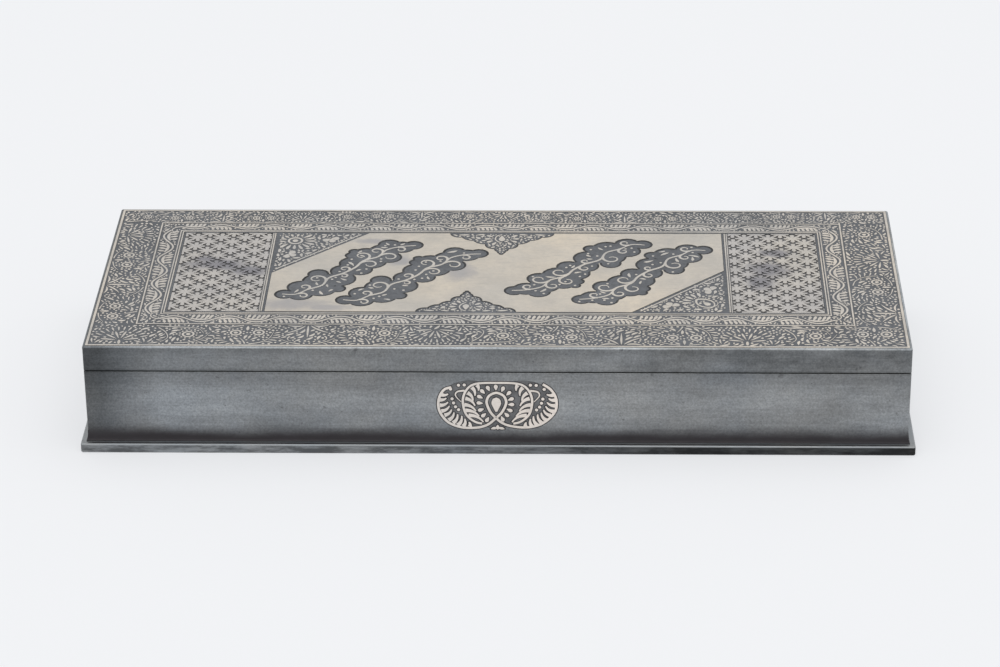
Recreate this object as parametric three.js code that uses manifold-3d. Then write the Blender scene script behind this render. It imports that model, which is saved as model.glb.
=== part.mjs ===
// An inlaid metal document box: a shallow oblong case of cast dark alloy plates with silver let into its
// hinged lid and its front. Millimetres, +Z up, the front faces -Y, the underside lies at z = 0.

import * as THREE from 'three';
import { mergeVertices } from 'three/addons/utils/BufferGeometryUtils.js';
import Module from 'manifold-3d';

const wasm = await Module();
wasm.setup();

// Case
const boxLength = 300;
const boxDepth = 118;
const seamHeight = 32.4; // middle of the seam, which is the hinge axis too
const seamGap = 0.3;
const seamEase = 0.25; // small chamfer on the two outer edges at the seam
const wallThickness = 3;
const cornerRadius = 0.8; // of the upright corners, above the hollow moulding
const coveHeight = 4; // hollow moulding at the foot of the walls
const coveProjection = 0.6;
const coveLip = 0.4;
const basePlateThickness = 3.7;
const basePlateProjection = 2.6;
const basePlateEase = 0.4;

// Lid
const lidHeight = 10; // from the seam to the upper face
const lidPlateThickness = 3;
const arrisRadius = 0.6;

// Strip round the mouth of the body that locates the lid
const rimThickness = 1.4;
const rimAbove = 2.5;
const rimBelow = 3.5;
const rimEase = 0.5;
const rimClearance = 0.3;

// Hinges
const hingeSpacing = 180; // between the middles of the two hinges
const hingeWidth = 24;
const axisInset = 1.2; // from the back face in to the hinge axis
const openAngle = 105; // degrees, where the two bevels behind the axis meet
const bevelGap = 0.3; // left between the bevels when the lid is fully open
const knuckleRadius = 1.9;
const middleKnuckleLength = 8.2;
const knuckleGap = 0.3;
const pinRadius = 0.8;
const pinClearance = 0.1;
const pinHeadRadius = 1.3;
const pinHeadThickness = 0.5;
const leafThickness = 1;
const bodyLeafLength = 9.5; // measured from the axis
const lidLeafLength = 6.6;
const rivetRadius = 0.8;
const rivetHeadRadius = 1.4;
const rivetHeadHeight = 0.6;
const headEase = 0.3; // chamfer round the heads of rivets and pins
const rivetSpacing = 14;
const rivetSetback = 2.2; // from the free edge of the leaf
const fitGap = 0.15; // round a leaf in its mortise and a rivet in its hole

// Silver inlay
const inlayThickness = 0.35;
const inlayProud = 0.1;
const inlayGap = 0.15;

// Layout of the lid's pattern, which was laid out by hand a little left of the middle
const layoutShift = -1;
const outerLineInset = 1;
const outerLineWidth = 0.9;
const sideBorder = 18.4;
const frontBorder = 18.2;
const backBorder = 12.6;
const innerLineWidth = 0.6;
const sideVineBand = 8.4;
const frontVineBand = 8.6;
const backVineBand = 7.2;
const panelLineWidth = 0.5;
const lineGap = 1; // bare alloy between a silver line and the sheet beside it
const starPanelWidth = 33.4;

// Pattern of the middle panel, drawn for a panel of this size and fitted to the real one
const drawnPanel = { width: 170.4, depth: 67.2 };
const cornerLeg = 35; // legs of the two corner triangles
const backCuspShift = 1; // from the middle of the panel
const backCuspSize = 19;
const frontCuspShift = -11;
const frontCuspSize = 17.6;

// The four cloud reserves of the middle panel: middle of each, from the middle of the panel, and its turn in
// degrees. The two on the right are the two on the left turned round.
const cloudPlaces = [
  { x: -56, y: 2, turn: 50 },
  { x: -31.9, y: -3.9, turn: 47 },
  { x: 30.9, y: 3.7, turn: 227 },
  { x: 55, y: -2.2, turn: 230 },
];
// Lobes of one cloud, along and across its length: the body, then the puffs at its sides
const cloudLobes = [
  { along: -31.2, across: 3.8, radius: 3.9 },
  { along: -27.4, across: -0.8, radius: 5 },
  { along: -23, across: 3.4, radius: 5.3 },
  { along: -19.4, across: -3.8, radius: 5.9 },
  { along: -14.8, across: 1.8, radius: 6.5 },
  { along: -10.8, across: 6, radius: 4.2 },
  { along: -8.4, across: -3.2, radius: 6.1 },
  { along: -2.6, across: 0.6, radius: 5.3 },
  { along: 2.2, across: -3.6, radius: 4.8 },
  { along: 4.6, across: 2.4, radius: 5.6 },
  { along: 10, across: -1.4, radius: 6.6 },
  { along: 13.6, across: 4.4, radius: 5.2 },
  { along: 17.2, across: -4.6, radius: 4.9 },
  { along: 20, across: 0.8, radius: 6.1 },
  { along: 25.4, across: 3, radius: 4.6 },
  { along: 26.8, across: -2.2, radius: 5.1 },
  { along: 31, across: -4.4, radius: 3.9 },
  { along: -14.9, across: -8.1, radius: 3.2 },
  { along: 9.2, across: 7.4, radius: 2.9 },
  { along: 12.2, across: 9.2, radius: 2.3 },
];
// Lobes of one cusp, as shares of its height: across, in from the panel's edge, and radius
const cuspLobes = [
  { across: 0.86, inward: 0, radius: 0.2 },
  { across: 0.58, inward: 0.1, radius: 0.25 },
  { across: 0.32, inward: 0.24, radius: 0.28 },
  { across: 0, inward: 0.28, radius: 0.38 },
  { across: 0.14, inward: 0.54, radius: 0.2 },
  { across: 0, inward: 0.74, radius: 0.15 },
  { across: 0, inward: 0.87, radius: 0.09 },
  { across: 0, inward: 0.95, radius: 0.05 },
];

// Medallion on the front: a middle oval between two wings
const medallionHeight = 19.2; // of its middle above the table
const medallionMiddle = { across: 12.6, up: 9.6 };
const medallionWing = { across: 12.2, up: 9.8 };
const wingOffset = 9.5;

// Facets
const ovalSides = 36;
const lobeSides = 18;
const knuckleSides = 24;
const rivetSides = 12;
const arrisSteps = 3;
const cornerSteps = 3;
const coveSteps = 5;

const alloy = { color: 0x74787c, roughness: 0.45, metalness: 0.85 };
const silver = { color: 0xcfc5b6, roughness: 0.35, metalness: 0.9 };
const brass = { color: 0x8f7a4e, roughness: 0.4, metalness: 0.9 };

// Places worked out from the sizes
const halfLength = boxLength / 2;
const halfDepth = boxDepth / 2;
const lidTop = seamHeight + lidHeight;
const bodyTop = seamHeight - seamGap / 2;
const lidBottom = seamHeight + seamGap / 2;
const lidPlateBottom = lidTop - lidPlateThickness;
const railThickness = wallThickness - rimClearance;
const axisY = halfDepth - axisInset;
const leafY = halfDepth - leafThickness;
const inlayDepth = inlayThickness - inlayProud;
const inlayFloor = lidTop - inlayDepth;
const past = 1; // how far a cutter runs past the face that it cuts

// Solids and booleans

function solidOf(geometry) {
  const bare = (geometry.index ? geometry.toNonIndexed() : geometry.clone());
  bare.deleteAttribute('normal');
  bare.deleteAttribute('uv');
  const merged = mergeVertices(bare, 1e-4);
  return new wasm.Manifold(new wasm.Mesh({
    numProp: 3,
    vertProperties: new Float32Array(merged.attributes.position.array),
    triVerts: new Uint32Array(merged.index.array),
  }));
}

function geometryOf(solid) {
  const mesh = solid.getMesh();
  const geometry = new THREE.BufferGeometry();
  geometry.setAttribute('position', new THREE.BufferAttribute(new Float32Array(mesh.vertProperties), 3));
  geometry.setIndex(new THREE.BufferAttribute(new Uint32Array(mesh.triVerts), 1));
  geometry.computeVertexNormals();
  return geometry;
}

function join(geometries) {
  return geometryOf(geometries.map(solidOf).reduce((whole, next) => whole.add(next)));
}

function cut(geometry, cutters) {
  return geometryOf(cutters.map(solidOf).reduce((whole, next) => whole.subtract(next), solidOf(geometry)));
}

// Basic shapes

function rectangle(x0, y0, x1, y1) {
  return new THREE.Shape([
    new THREE.Vector2(x0, y0),
    new THREE.Vector2(x1, y0),
    new THREE.Vector2(x1, y1),
    new THREE.Vector2(x0, y1),
  ]);
}

function slab(shape, bottom, top) {
  return new THREE.ExtrudeGeometry(shape, { depth: top - bottom, bevelEnabled: false })
    .translate(0, 0, bottom);
}

function block(x0, y0, z0, x1, y1, z1) {
  return new THREE.BoxGeometry(x1 - x0, y1 - y0, z1 - z0)
    .translate((x0 + x1) / 2, (y0 + y1) / 2, (z0 + z1) / 2);
}

// A plate with round corners, and its long edges rounded above and below
function easedPlate(halfX, halfY, bottom, top, ease, steps) {
  const radius = Math.max(cornerRadius - ease, ease / 2);
  const x = halfX - ease - radius;
  const y = halfY - ease - radius;
  const outline = new THREE.Shape();
  outline.absarc(x, -y, radius, -Math.PI / 2, 0);
  outline.absarc(x, y, radius, 0, Math.PI / 2);
  outline.absarc(-x, y, radius, Math.PI / 2, Math.PI);
  outline.absarc(-x, -y, radius, Math.PI, 1.5 * Math.PI);
  return new THREE.ExtrudeGeometry(outline, {
    depth: top - bottom - 2 * ease,
    bevelThickness: ease,
    bevelSize: ease,
    bevelSegments: steps,
    curveSegments: cornerSteps,
  }).translate(0, 0, bottom + ease);
}

// What comes off the four upright corners of the case to round them
function cornerCutters(bottom, top) {
  const x = halfLength - cornerRadius;
  const y = halfDepth - cornerRadius;
  const outside = cornerRadius + past;
  const section = [];
  for (let i = 0; i <= cornerSteps; i += 1) {
    const angle = i / cornerSteps * Math.PI / 2;
    section.push([x + cornerRadius * Math.cos(angle), y + cornerRadius * Math.sin(angle)]);
  }
  section.push([x, y + outside], [x + outside, y + outside], [x + outside, y]);
  return [[1, 1], [-1, 1], [-1, -1], [1, -1]].map(([signX, signY]) => {
    const points = section.map(([px, py]) => new THREE.Vector2(signX * px, signY * py));
    return slab(new THREE.Shape(points), bottom, top);
  });
}

// A bar along the front of a rectangle, with mitred ends. The section is drawn with x outwards from the
// rectangle's side and y up.
function mitredBar(section, halfRun, halfAcross) {
  const geometry = new THREE.ExtrudeGeometry(new THREE.Shape(section), { depth: 1, bevelEnabled: false });
  const position = geometry.attributes.position;
  for (let i = 0; i < position.count; i += 1) {
    const outward = position.getX(i);
    const end = position.getZ(i) > 0.5 ? -1 : 1;
    position.setXYZ(i, end * (halfRun + outward), -(halfAcross + outward), position.getY(i));
  }
  return geometry;
}

// The same bar on each side of the case: front, back, left and right
function onEachSide(section) {
  return {
    front: mitredBar(section, halfLength, halfDepth),
    back: mitredBar(section, halfLength, halfDepth).rotateZ(Math.PI),
    left: mitredBar(section, halfDepth, halfLength).rotateZ(-Math.PI / 2),
    right: mitredBar(section, halfDepth, halfLength).rotateZ(Math.PI / 2),
  };
}

// A round bar along X about the hinge axis
function axisBar(x0, x1, radius) {
  return new THREE.CylinderGeometry(radius, radius, x1 - x0, knuckleSides)
    .rotateZ(Math.PI / 2)
    .translate((x0 + x1) / 2, axisY, seamHeight);
}

function upright(x, y, radiusX, radiusY, bottom, top, sides) {
  return new THREE.CylinderGeometry(1, 1, top - bottom, sides)
    .rotateX(Math.PI / 2)
    .scale(radiusX, radiusY, 1)
    .translate(x, y, (bottom + top) / 2);
}

// Case

function wallSection() {
  const section = [
    new THREE.Vector2(-wallThickness, basePlateThickness),
    new THREE.Vector2(coveProjection, basePlateThickness),
  ];
  const lipTop = basePlateThickness + coveLip;
  const coveTop = basePlateThickness + coveHeight;
  const hollow = new THREE.QuadraticBezierCurve(
    new THREE.Vector2(coveProjection, lipTop),
    new THREE.Vector2(0, lipTop),
    new THREE.Vector2(0, coveTop),
  );
  return section.concat(hollow.getPoints(coveSteps), [
    new THREE.Vector2(0, bodyTop - seamEase),
    new THREE.Vector2(-seamEase, bodyTop),
    new THREE.Vector2(-wallThickness, bodyTop),
  ]);
}

function railSection() {
  return [
    new THREE.Vector2(-railThickness, lidBottom),
    new THREE.Vector2(-seamEase, lidBottom),
    new THREE.Vector2(0, lidBottom + seamEase),
    new THREE.Vector2(0, lidPlateBottom),
    new THREE.Vector2(-railThickness, lidPlateBottom),
  ];
}

function rimSection() {
  const outside = -wallThickness;
  const inside = outside - rimThickness;
  const rimTop = seamHeight + rimAbove;
  return [
    new THREE.Vector2(inside, seamHeight - rimBelow),
    new THREE.Vector2(outside, seamHeight - rimBelow),
    new THREE.Vector2(outside, rimTop - rimEase),
    new THREE.Vector2(outside - rimEase, rimTop),
    new THREE.Vector2(inside, rimTop),
  ];
}

// The groove along the back of the seam. Its two faces are the bevels that stop the lid.
function backGroove() {
  const halfAngle = THREE.MathUtils.degToRad(openAngle / 2);
  const apex = axisY - bevelGap / 2 / Math.sin(halfAngle);
  const outside = halfDepth + past;
  const rise = (outside - apex) * Math.tan(halfAngle);
  const section = new THREE.Shape([
    new THREE.Vector2(apex, seamHeight),
    new THREE.Vector2(outside, seamHeight - rise),
    new THREE.Vector2(outside, seamHeight + rise),
  ]);
  const run = halfLength + past;
  return new THREE.ExtrudeGeometry(section, { depth: 2 * run, bevelEnabled: false })
    .rotateY(Math.PI / 2)
    .rotateX(Math.PI / 2)
    .translate(-run, 0, 0);
}

// Hinges

const hingeSides = { left: -hingeSpacing / 2, right: hingeSpacing / 2 };
const pinHeadSpace = knuckleGap + pinHeadThickness;

function knuckleSpans(middle) {
  const half = hingeWidth / 2;
  const halfMiddle = middleKnuckleLength / 2;
  return {
    outerLeft: [middle - half, middle - halfMiddle - knuckleGap],
    lid: [middle - halfMiddle, middle + halfMiddle],
    outerRight: [middle + halfMiddle + knuckleGap, middle + half],
  };
}

// Room round the barrel, in both back edges
function barrelRoom(middle) {
  const half = hingeWidth / 2 + pinHeadSpace + knuckleGap;
  return axisBar(middle - half, middle + half, knuckleRadius + knuckleGap);
}

function leafBlock(middle, end, gap) {
  const half = hingeWidth / 2 + gap;
  const [low, high] = end < 0 ? [end - gap, 0] : [0, end + gap];
  const outside = gap > 0 ? halfDepth + past : halfDepth;
  return block(middle - half, leafY, seamHeight + low, middle + half, outside, seamHeight + high);
}

function rivetPlaces(middle, end) {
  const height = seamHeight + end - Math.sign(end) * rivetSetback;
  return [-1, 1].map((side) => ({ x: middle + side * rivetSpacing / 2, z: height }));
}

function rivetHole(place, inside) {
  const length = halfDepth - inside + 2 * past;
  return new THREE.CylinderGeometry(rivetRadius + fitGap, rivetRadius + fitGap, length, rivetSides)
    .translate(place.x, (inside + halfDepth) / 2, place.z);
}

function rivet(place, inside) {
  const profile = [
    new THREE.Vector2(0, -rivetHeadHeight),
    new THREE.Vector2(rivetHeadRadius - headEase, -rivetHeadHeight),
    new THREE.Vector2(rivetHeadRadius, headEase - rivetHeadHeight),
    new THREE.Vector2(rivetHeadRadius, 0),
    new THREE.Vector2(rivetRadius, 0),
    new THREE.Vector2(rivetRadius, halfDepth - inside),
    new THREE.Vector2(0, halfDepth - inside),
  ];
  return new THREE.LatheGeometry(profile, rivetSides).translate(place.x, inside, place.z);
}

function bodyLeaf(middle) {
  const spans = knuckleSpans(middle);
  const outer = [spans.outerLeft, spans.outerRight].map(([x0, x1]) => axisBar(x0, x1, knuckleRadius));
  const [lidX0, lidX1] = spans.lid;
  const lidRoom = axisBar(lidX0 - knuckleGap, lidX1 + knuckleGap, knuckleRadius + knuckleGap);
  const plate = cut(leafBlock(middle, -bodyLeafLength, 0), [backGroove(), lidRoom]);
  const holes = rivetPlaces(middle, -bodyLeafLength)
    .map((place) => rivetHole(place, halfDepth - wallThickness));
  return cut(join([plate, ...outer]), [pinBore(middle), ...holes]);
}

function lidLeaf(middle) {
  const spans = knuckleSpans(middle);
  const [lidX0, lidX1] = spans.lid;
  const rooms = [spans.outerLeft, spans.outerRight].map(([x0, x1]) => (
    axisBar(x0 - knuckleGap, x1 + knuckleGap, knuckleRadius + knuckleGap)
  ));
  const plate = cut(leafBlock(middle, lidLeafLength, 0), [backGroove(), ...rooms]);
  const holes = rivetPlaces(middle, lidLeafLength)
    .map((place) => rivetHole(place, halfDepth - railThickness));
  return cut(join([plate, axisBar(lidX0, lidX1, knuckleRadius)]), [pinBore(middle), ...holes]);
}

function pinBore(middle) {
  const half = hingeWidth / 2 + past;
  return axisBar(middle - half, middle + half, pinRadius + pinClearance);
}

// A pin with both ends peened over
function hingePin(middle) {
  const shank = hingeWidth / 2 + knuckleGap / 2;
  const end = shank + pinHeadThickness;
  const profile = [
    new THREE.Vector2(0, -end),
    new THREE.Vector2(pinHeadRadius - headEase, -end),
    new THREE.Vector2(pinHeadRadius, headEase - end),
    new THREE.Vector2(pinHeadRadius, -shank),
    new THREE.Vector2(pinRadius, -shank),
    new THREE.Vector2(pinRadius, shank),
    new THREE.Vector2(pinHeadRadius, shank),
    new THREE.Vector2(pinHeadRadius, end - headEase),
    new THREE.Vector2(pinHeadRadius - headEase, end),
    new THREE.Vector2(0, end),
  ];
  return new THREE.LatheGeometry(profile, knuckleSides)
    .rotateZ(-Math.PI / 2)
    .translate(middle, axisY, seamHeight);
}

// Layout of the lid

const innerLine = {
  left: -halfLength + sideBorder + layoutShift,
  right: halfLength - sideBorder + layoutShift,
  front: -halfDepth + frontBorder,
  back: halfDepth - backBorder,
};
const panelLine = {
  left: innerLine.left + innerLineWidth + sideVineBand,
  right: innerLine.right - innerLineWidth - sideVineBand,
  front: innerLine.front + innerLineWidth + frontVineBand,
  back: innerLine.back - innerLineWidth - backVineBand,
};
const sheetInset = panelLineWidth + lineGap;
const sheetFront = panelLine.front + sheetInset;
const sheetBack = panelLine.back - sheetInset;
const leftStars = { left: panelLine.left + sheetInset, right: panelLine.left + sheetInset + starPanelWidth };
const rightStars = {
  left: panelLine.right - sheetInset - starPanelWidth,
  right: panelLine.right - sheetInset,
};
const leftDivider = leftStars.right + lineGap;
const rightDivider = rightStars.left - lineGap - panelLineWidth;
const middlePanel = { left: leftDivider + panelLineWidth + lineGap, right: rightDivider - lineGap };
const middleX = (middlePanel.left + middlePanel.right) / 2;
const middleY = (sheetFront + sheetBack) / 2;
const stretchX = (middlePanel.right - middlePanel.left) / drawnPanel.width;
const stretchY = (sheetBack - sheetFront) / drawnPanel.depth;
const patternScale = Math.min(stretchX, stretchY);

// A frame of flat wire, or with a gap the groove for it
function frameLine(frame, width, gap, bottom, top) {
  const shape = rectangle(frame.left - gap, frame.front - gap, frame.right + gap, frame.back + gap);
  const inset = width + gap;
  shape.holes.push(rectangle(
    frame.left + inset,
    frame.front + inset,
    frame.right - inset,
    frame.back - inset,
  ));
  return slab(shape, bottom, top);
}

function sheet(left, right, gap, bottom, top) {
  const shape = rectangle(left - gap, sheetFront - gap, right + gap, sheetBack + gap);
  return slab(shape, bottom, top);
}

// One cloud reserve. The opening in the silver has the full lobes, the alloy that stands in it smaller ones.
function cloud(place, gap, bottom, top) {
  const turn = THREE.MathUtils.degToRad(place.turn);
  const alongX = Math.cos(turn) * patternScale;
  const alongY = Math.sin(turn) * patternScale;
  const lobes = cloudLobes.map(({ along, across, radius }) => upright(
    middleX + place.x * stretchX + along * alongX - across * alongY,
    middleY + place.y * stretchY + along * alongY + across * alongX,
    radius * patternScale - gap,
    radius * patternScale - gap,
    bottom,
    top,
    lobeSides,
  ));
  return join(lobes);
}

function cusp(shift, edgeY, inward, drawnSize, gap, bottom, top) {
  const size = drawnSize * patternScale;
  const lobes = cuspLobes.flatMap((lobe) => (lobe.across > 0 ? [-1, 1] : [0]).map((side) => upright(
    middleX + shift * stretchX + side * lobe.across * size,
    edgeY + inward * lobe.inward * size,
    lobe.radius * size - gap,
    lobe.radius * size - gap,
    bottom,
    top,
    lobeSides,
  )));
  return join(lobes);
}

// A corner triangle of the middle panel, run out past the panel's two edges
function corner(x, y, signX, signY, gap, bottom, top) {
  const leg = cornerLeg * patternScale - gap * Math.SQRT2 + 2 * past;
  const startX = x - signX * past;
  const startY = y - signY * past;
  const points = [
    new THREE.Vector2(startX, startY),
    new THREE.Vector2(startX + signX * leg, startY),
    new THREE.Vector2(startX, startY + signY * leg),
  ];
  return slab(new THREE.Shape(points), bottom, top);
}

// The places where the alloy shows through the middle sheet
function reserves(gap, bottom, top) {
  return [
    ...cloudPlaces.map((place) => cloud(place, gap, bottom, top)),
    cusp(backCuspShift, sheetBack, -1, backCuspSize, gap, bottom, top),
    cusp(frontCuspShift, sheetFront, 1, frontCuspSize, gap, bottom, top),
    corner(middlePanel.left, sheetBack, 1, -1, gap, bottom, top),
    corner(middlePanel.right, sheetFront, -1, 1, gap, bottom, top),
  ];
}

function middleSheet(gap, bottom, top) {
  const plain = sheet(middlePanel.left, middlePanel.right, gap, bottom, top);
  return cut(plain, reserves(gap, bottom - past, top + past));
}

const outerLine = {
  left: -halfLength + outerLineInset,
  right: halfLength - outerLineInset,
  front: -halfDepth + outerLineInset,
  back: halfDepth - outerLineInset,
};

// Every piece of silver on the lid, or with a gap the recess for it
function lidInlays(gap, bottom, top) {
  const dividerGap = panelLineWidth + gap;
  return {
    outer_border_line: frameLine(outerLine, outerLineWidth, gap, bottom, top),
    inner_border_line: frameLine(innerLine, innerLineWidth, gap, bottom, top),
    panel_border_line: frameLine(panelLine, panelLineWidth, gap, bottom, top),
    left_panel_divider: sheet(leftDivider, leftDivider + panelLineWidth, gap, bottom, top),
    right_panel_divider: sheet(rightDivider, rightDivider + panelLineWidth, gap, bottom, top),
    left_star_sheet: sheet(leftStars.left, leftStars.right, gap, bottom, top),
    right_star_sheet: sheet(rightStars.left, rightStars.right, gap, bottom, top),
    centre_sheet: middleSheet(gap, bottom, top),
  };
}

function medallion(gap, inside, outside) {
  const ovals = [
    { x: 0, ...medallionMiddle },
    { x: -wingOffset, ...medallionWing },
    { x: wingOffset, ...medallionWing },
  ];
  return join(ovals.map((oval) => (
    upright(oval.x, 0, oval.across + gap, oval.up + gap, inside, outside, ovalSides)
  ))).rotateX(Math.PI / 2).translate(0, 0, medallionHeight);
}

// The assembled box

const box = new THREE.Group();

function piece(parent, name, geometry, finish) {
  const mesh = new THREE.Mesh(geometry, new THREE.MeshStandardMaterial(finish));
  mesh.name = name;
  parent.add(mesh);
}

function addBody(parent) {
  const walls = onEachSide(wallSection());
  const rims = onEachSide(rimSection());
  const groove = backGroove();
  const hinges = Object.values(hingeSides);
  const mortises = hinges.map((x) => leafBlock(x, -bodyLeafLength, fitGap));
  const rooms = hinges.map(barrelRoom);
  const inside = halfDepth - wallThickness;
  const holes = hinges.flatMap((x) => rivetPlaces(x, -bodyLeafLength))
    .map((place) => rivetHole(place, inside));
  const plate = easedPlate(
    halfLength + basePlateProjection,
    halfDepth + basePlateProjection,
    0,
    basePlateThickness,
    basePlateEase,
    1,
  );
  const recess = medallion(inlayGap, halfDepth - inlayDepth, halfDepth + past);
  const corners = cornerCutters(basePlateThickness + coveHeight, bodyTop + past);
  const backCutters = [groove, ...corners, ...rooms, ...mortises, ...holes];
  piece(parent, 'base_plate', plate, alloy);
  piece(parent, 'front_wall', cut(walls.front, [recess, ...corners]), alloy);
  piece(parent, 'back_wall', cut(walls.back, backCutters), alloy);
  piece(parent, 'left_wall', cut(walls.left, [groove, ...corners]), alloy);
  piece(parent, 'right_wall', cut(walls.right, [groove, ...corners]), alloy);
  piece(parent, 'front_rim_strip', rims.front, alloy);
  piece(parent, 'back_rim_strip', cut(rims.back, rooms), alloy);
  piece(parent, 'left_rim_strip', rims.left, alloy);
  piece(parent, 'right_rim_strip', rims.right, alloy);
  const badge = medallion(0, halfDepth - inlayDepth, halfDepth + inlayProud);
  piece(parent, 'front_medallion', badge, silver);
}

function addLid(parent) {
  const rails = onEachSide(railSection());
  const groove = backGroove();
  const hinges = Object.values(hingeSides);
  const mortises = hinges.map((x) => leafBlock(x, lidLeafLength, fitGap));
  const rooms = hinges.map(barrelRoom);
  const inside = halfDepth - railThickness;
  const holes = hinges.flatMap((x) => rivetPlaces(x, lidLeafLength))
    .map((place) => rivetHole(place, inside));
  const blank = easedPlate(
    halfLength,
    halfDepth,
    lidPlateBottom - arrisRadius - past,
    lidTop,
    arrisRadius,
    arrisSteps,
  );
  const below = block(
    -boxLength,
    -boxDepth,
    lidPlateBottom - boxDepth,
    boxLength,
    boxDepth,
    lidPlateBottom,
  );
  const recesses = Object.values(lidInlays(inlayGap, inlayFloor, lidTop + past));
  const corners = cornerCutters(lidBottom - past, lidPlateBottom + past);
  const backCutters = [groove, ...corners, ...rooms, ...mortises, ...holes];
  piece(parent, 'lid_top_plate', cut(blank, [below, ...recesses]), alloy);
  piece(parent, 'lid_front_rail', cut(rails.front, corners), alloy);
  piece(parent, 'lid_back_rail', cut(rails.back, backCutters), alloy);
  piece(parent, 'lid_left_rail', cut(rails.left, [groove, ...corners]), alloy);
  piece(parent, 'lid_right_rail', cut(rails.right, [groove, ...corners]), alloy);
  const inlays = lidInlays(0, inlayFloor, lidTop + inlayProud);
  Object.entries(inlays).forEach(([name, geometry]) => piece(parent, name, geometry, silver));
}

function addHinge(parent, side, middle) {
  piece(parent, `${side}_hinge_body_leaf`, bodyLeaf(middle), brass);
  piece(parent, `${side}_hinge_lid_leaf`, lidLeaf(middle), brass);
  piece(parent, `${side}_hinge_pin`, hingePin(middle), brass);
  rivetPlaces(middle, -bodyLeafLength).forEach((place, i) => {
    piece(parent, `${side}_hinge_body_rivet_${i + 1}`, rivet(place, halfDepth - wallThickness), brass);
  });
  rivetPlaces(middle, lidLeafLength).forEach((place, i) => {
    piece(parent, `${side}_hinge_lid_rivet_${i + 1}`, rivet(place, halfDepth - railThickness), brass);
  });
}

addBody(box);
addLid(box);
Object.entries(hingeSides).forEach(([side, middle]) => addHinge(box, side, middle));

export default box;
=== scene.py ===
# An inlaid metal document box: dark cast alloy with silver let into its hinged lid and its front.
# The pattern is drawn in millimetres on the lid's upper face and on the front face, then placed in metres.

import math
import random

import bmesh
import bpy
from mathutils import Matrix, Vector, noise


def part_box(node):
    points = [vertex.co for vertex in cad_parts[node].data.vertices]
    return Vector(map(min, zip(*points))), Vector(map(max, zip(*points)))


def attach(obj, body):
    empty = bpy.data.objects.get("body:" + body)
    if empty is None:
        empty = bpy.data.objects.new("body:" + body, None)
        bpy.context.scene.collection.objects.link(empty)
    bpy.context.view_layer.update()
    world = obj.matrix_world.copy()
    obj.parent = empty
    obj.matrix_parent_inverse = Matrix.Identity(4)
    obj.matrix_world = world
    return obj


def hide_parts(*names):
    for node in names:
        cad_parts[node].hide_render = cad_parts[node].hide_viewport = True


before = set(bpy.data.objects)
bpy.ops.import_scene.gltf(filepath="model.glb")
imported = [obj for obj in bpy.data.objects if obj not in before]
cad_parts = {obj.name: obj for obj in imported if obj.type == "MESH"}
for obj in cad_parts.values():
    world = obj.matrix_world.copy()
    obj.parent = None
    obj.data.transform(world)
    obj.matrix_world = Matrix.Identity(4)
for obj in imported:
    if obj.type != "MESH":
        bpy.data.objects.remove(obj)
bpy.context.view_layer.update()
mm = 0.001
print("Frame loaded:", len(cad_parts), "pieces")


# Places read from the frame, in millimetres

def faceBox(node):
    low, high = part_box(node)
    return {"left": low.x / mm, "right": high.x / mm, "front": low.y / mm, "back": high.y / mm,
            "bottom": low.z / mm, "top": high.z / mm}


def middleOf(box, low, high):
    return (box[low] + box[high]) / 2


def rectOf(box, inset=0):
    # Left, front, right and back of the box, moved inwards
    return box["left"] + inset, box["front"] + inset, box["right"] - inset, box["back"] - inset


lidPlate = 3  # how thick the lid's top plate is
plateTop = faceBox("lid_right_rail")["top"] + lidPlate  # its upper face, without the silver that stands proud
frontFace = -59  # the outside of the front wall
outerLine = faceBox("outer_border_line")
innerLine = faceBox("inner_border_line")
panelLine = faceBox("panel_border_line")
leftStars = faceBox("left_star_sheet")
rightStars = faceBox("right_star_sheet")
centrePanel = faceBox("centre_sheet")
frontBadge = faceBox("front_medallion")
lineWidths = {"outer": 0.9, "inner": 0.6}
panelMiddle = (middleOf(centrePanel, "left", "right"), middleOf(centrePanel, "front", "back"))
badgeMiddle = (middleOf(frontBadge, "left", "right"), middleOf(frontBadge, "bottom", "top"))


# Drawing strokes

profiles = {
    "leaf": lambda t: math.sin(math.pi * t ** 0.8) ** 0.75,
    "drop": lambda t: min(1, 0.2 + 1.5 * t) * math.sqrt(max(0, 1 - (max(0, t - 0.62) / 0.38) ** 2)),
    "wire": lambda t: 1,
    "whip": lambda t: 1 - 0.7 * t,
    "swell": lambda t: 0.45 + 0.55 * math.sin(math.pi * t),
}
tipWidth = 0.14  # no stroke gets narrower than this


def awayFrom(x, y, reach, degrees):
    angle = math.radians(degrees)
    return x + reach * math.cos(angle), y + reach * math.sin(angle)


def mirrored(points, side):
    # The points as they stand (side 1) or on the other side of the middle (side -1)
    return [(side * x, y) for x, y in points]


def bentPath(x, y, heading, length, bend=0, steps=6, tighten=0):
    # The bend is the whole turn in degrees; with tighten it grows towards the end, as in a curl
    shares = [1 + tighten * (i + 0.5) / steps for i in range(steps)]
    angle = math.radians(heading)
    points = [(x, y)]
    for share in shares:
        part = math.radians(bend) * share / sum(shares) / 2
        angle += part
        x += length / steps * math.cos(angle)
        y += length / steps * math.sin(angle)
        angle += part
        points.append((x, y))
    return points


def sagPath(start, end, sag, steps=8):
    # A line from start to end whose middle is pushed to the left by a share of its length
    (x0, y0), (x1, y1) = start, end
    middleX, middleY = (x0 + x1) / 2 - 2 * sag * (y1 - y0), (y0 + y1) / 2 + 2 * sag * (x1 - x0)
    shares = [i / steps for i in range(steps + 1)]
    return [((1 - t) ** 2 * x0 + 2 * t * (1 - t) * middleX + t * t * x1,
             (1 - t) ** 2 * y0 + 2 * t * (1 - t) * middleY + t * t * y1) for t in shares]


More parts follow.
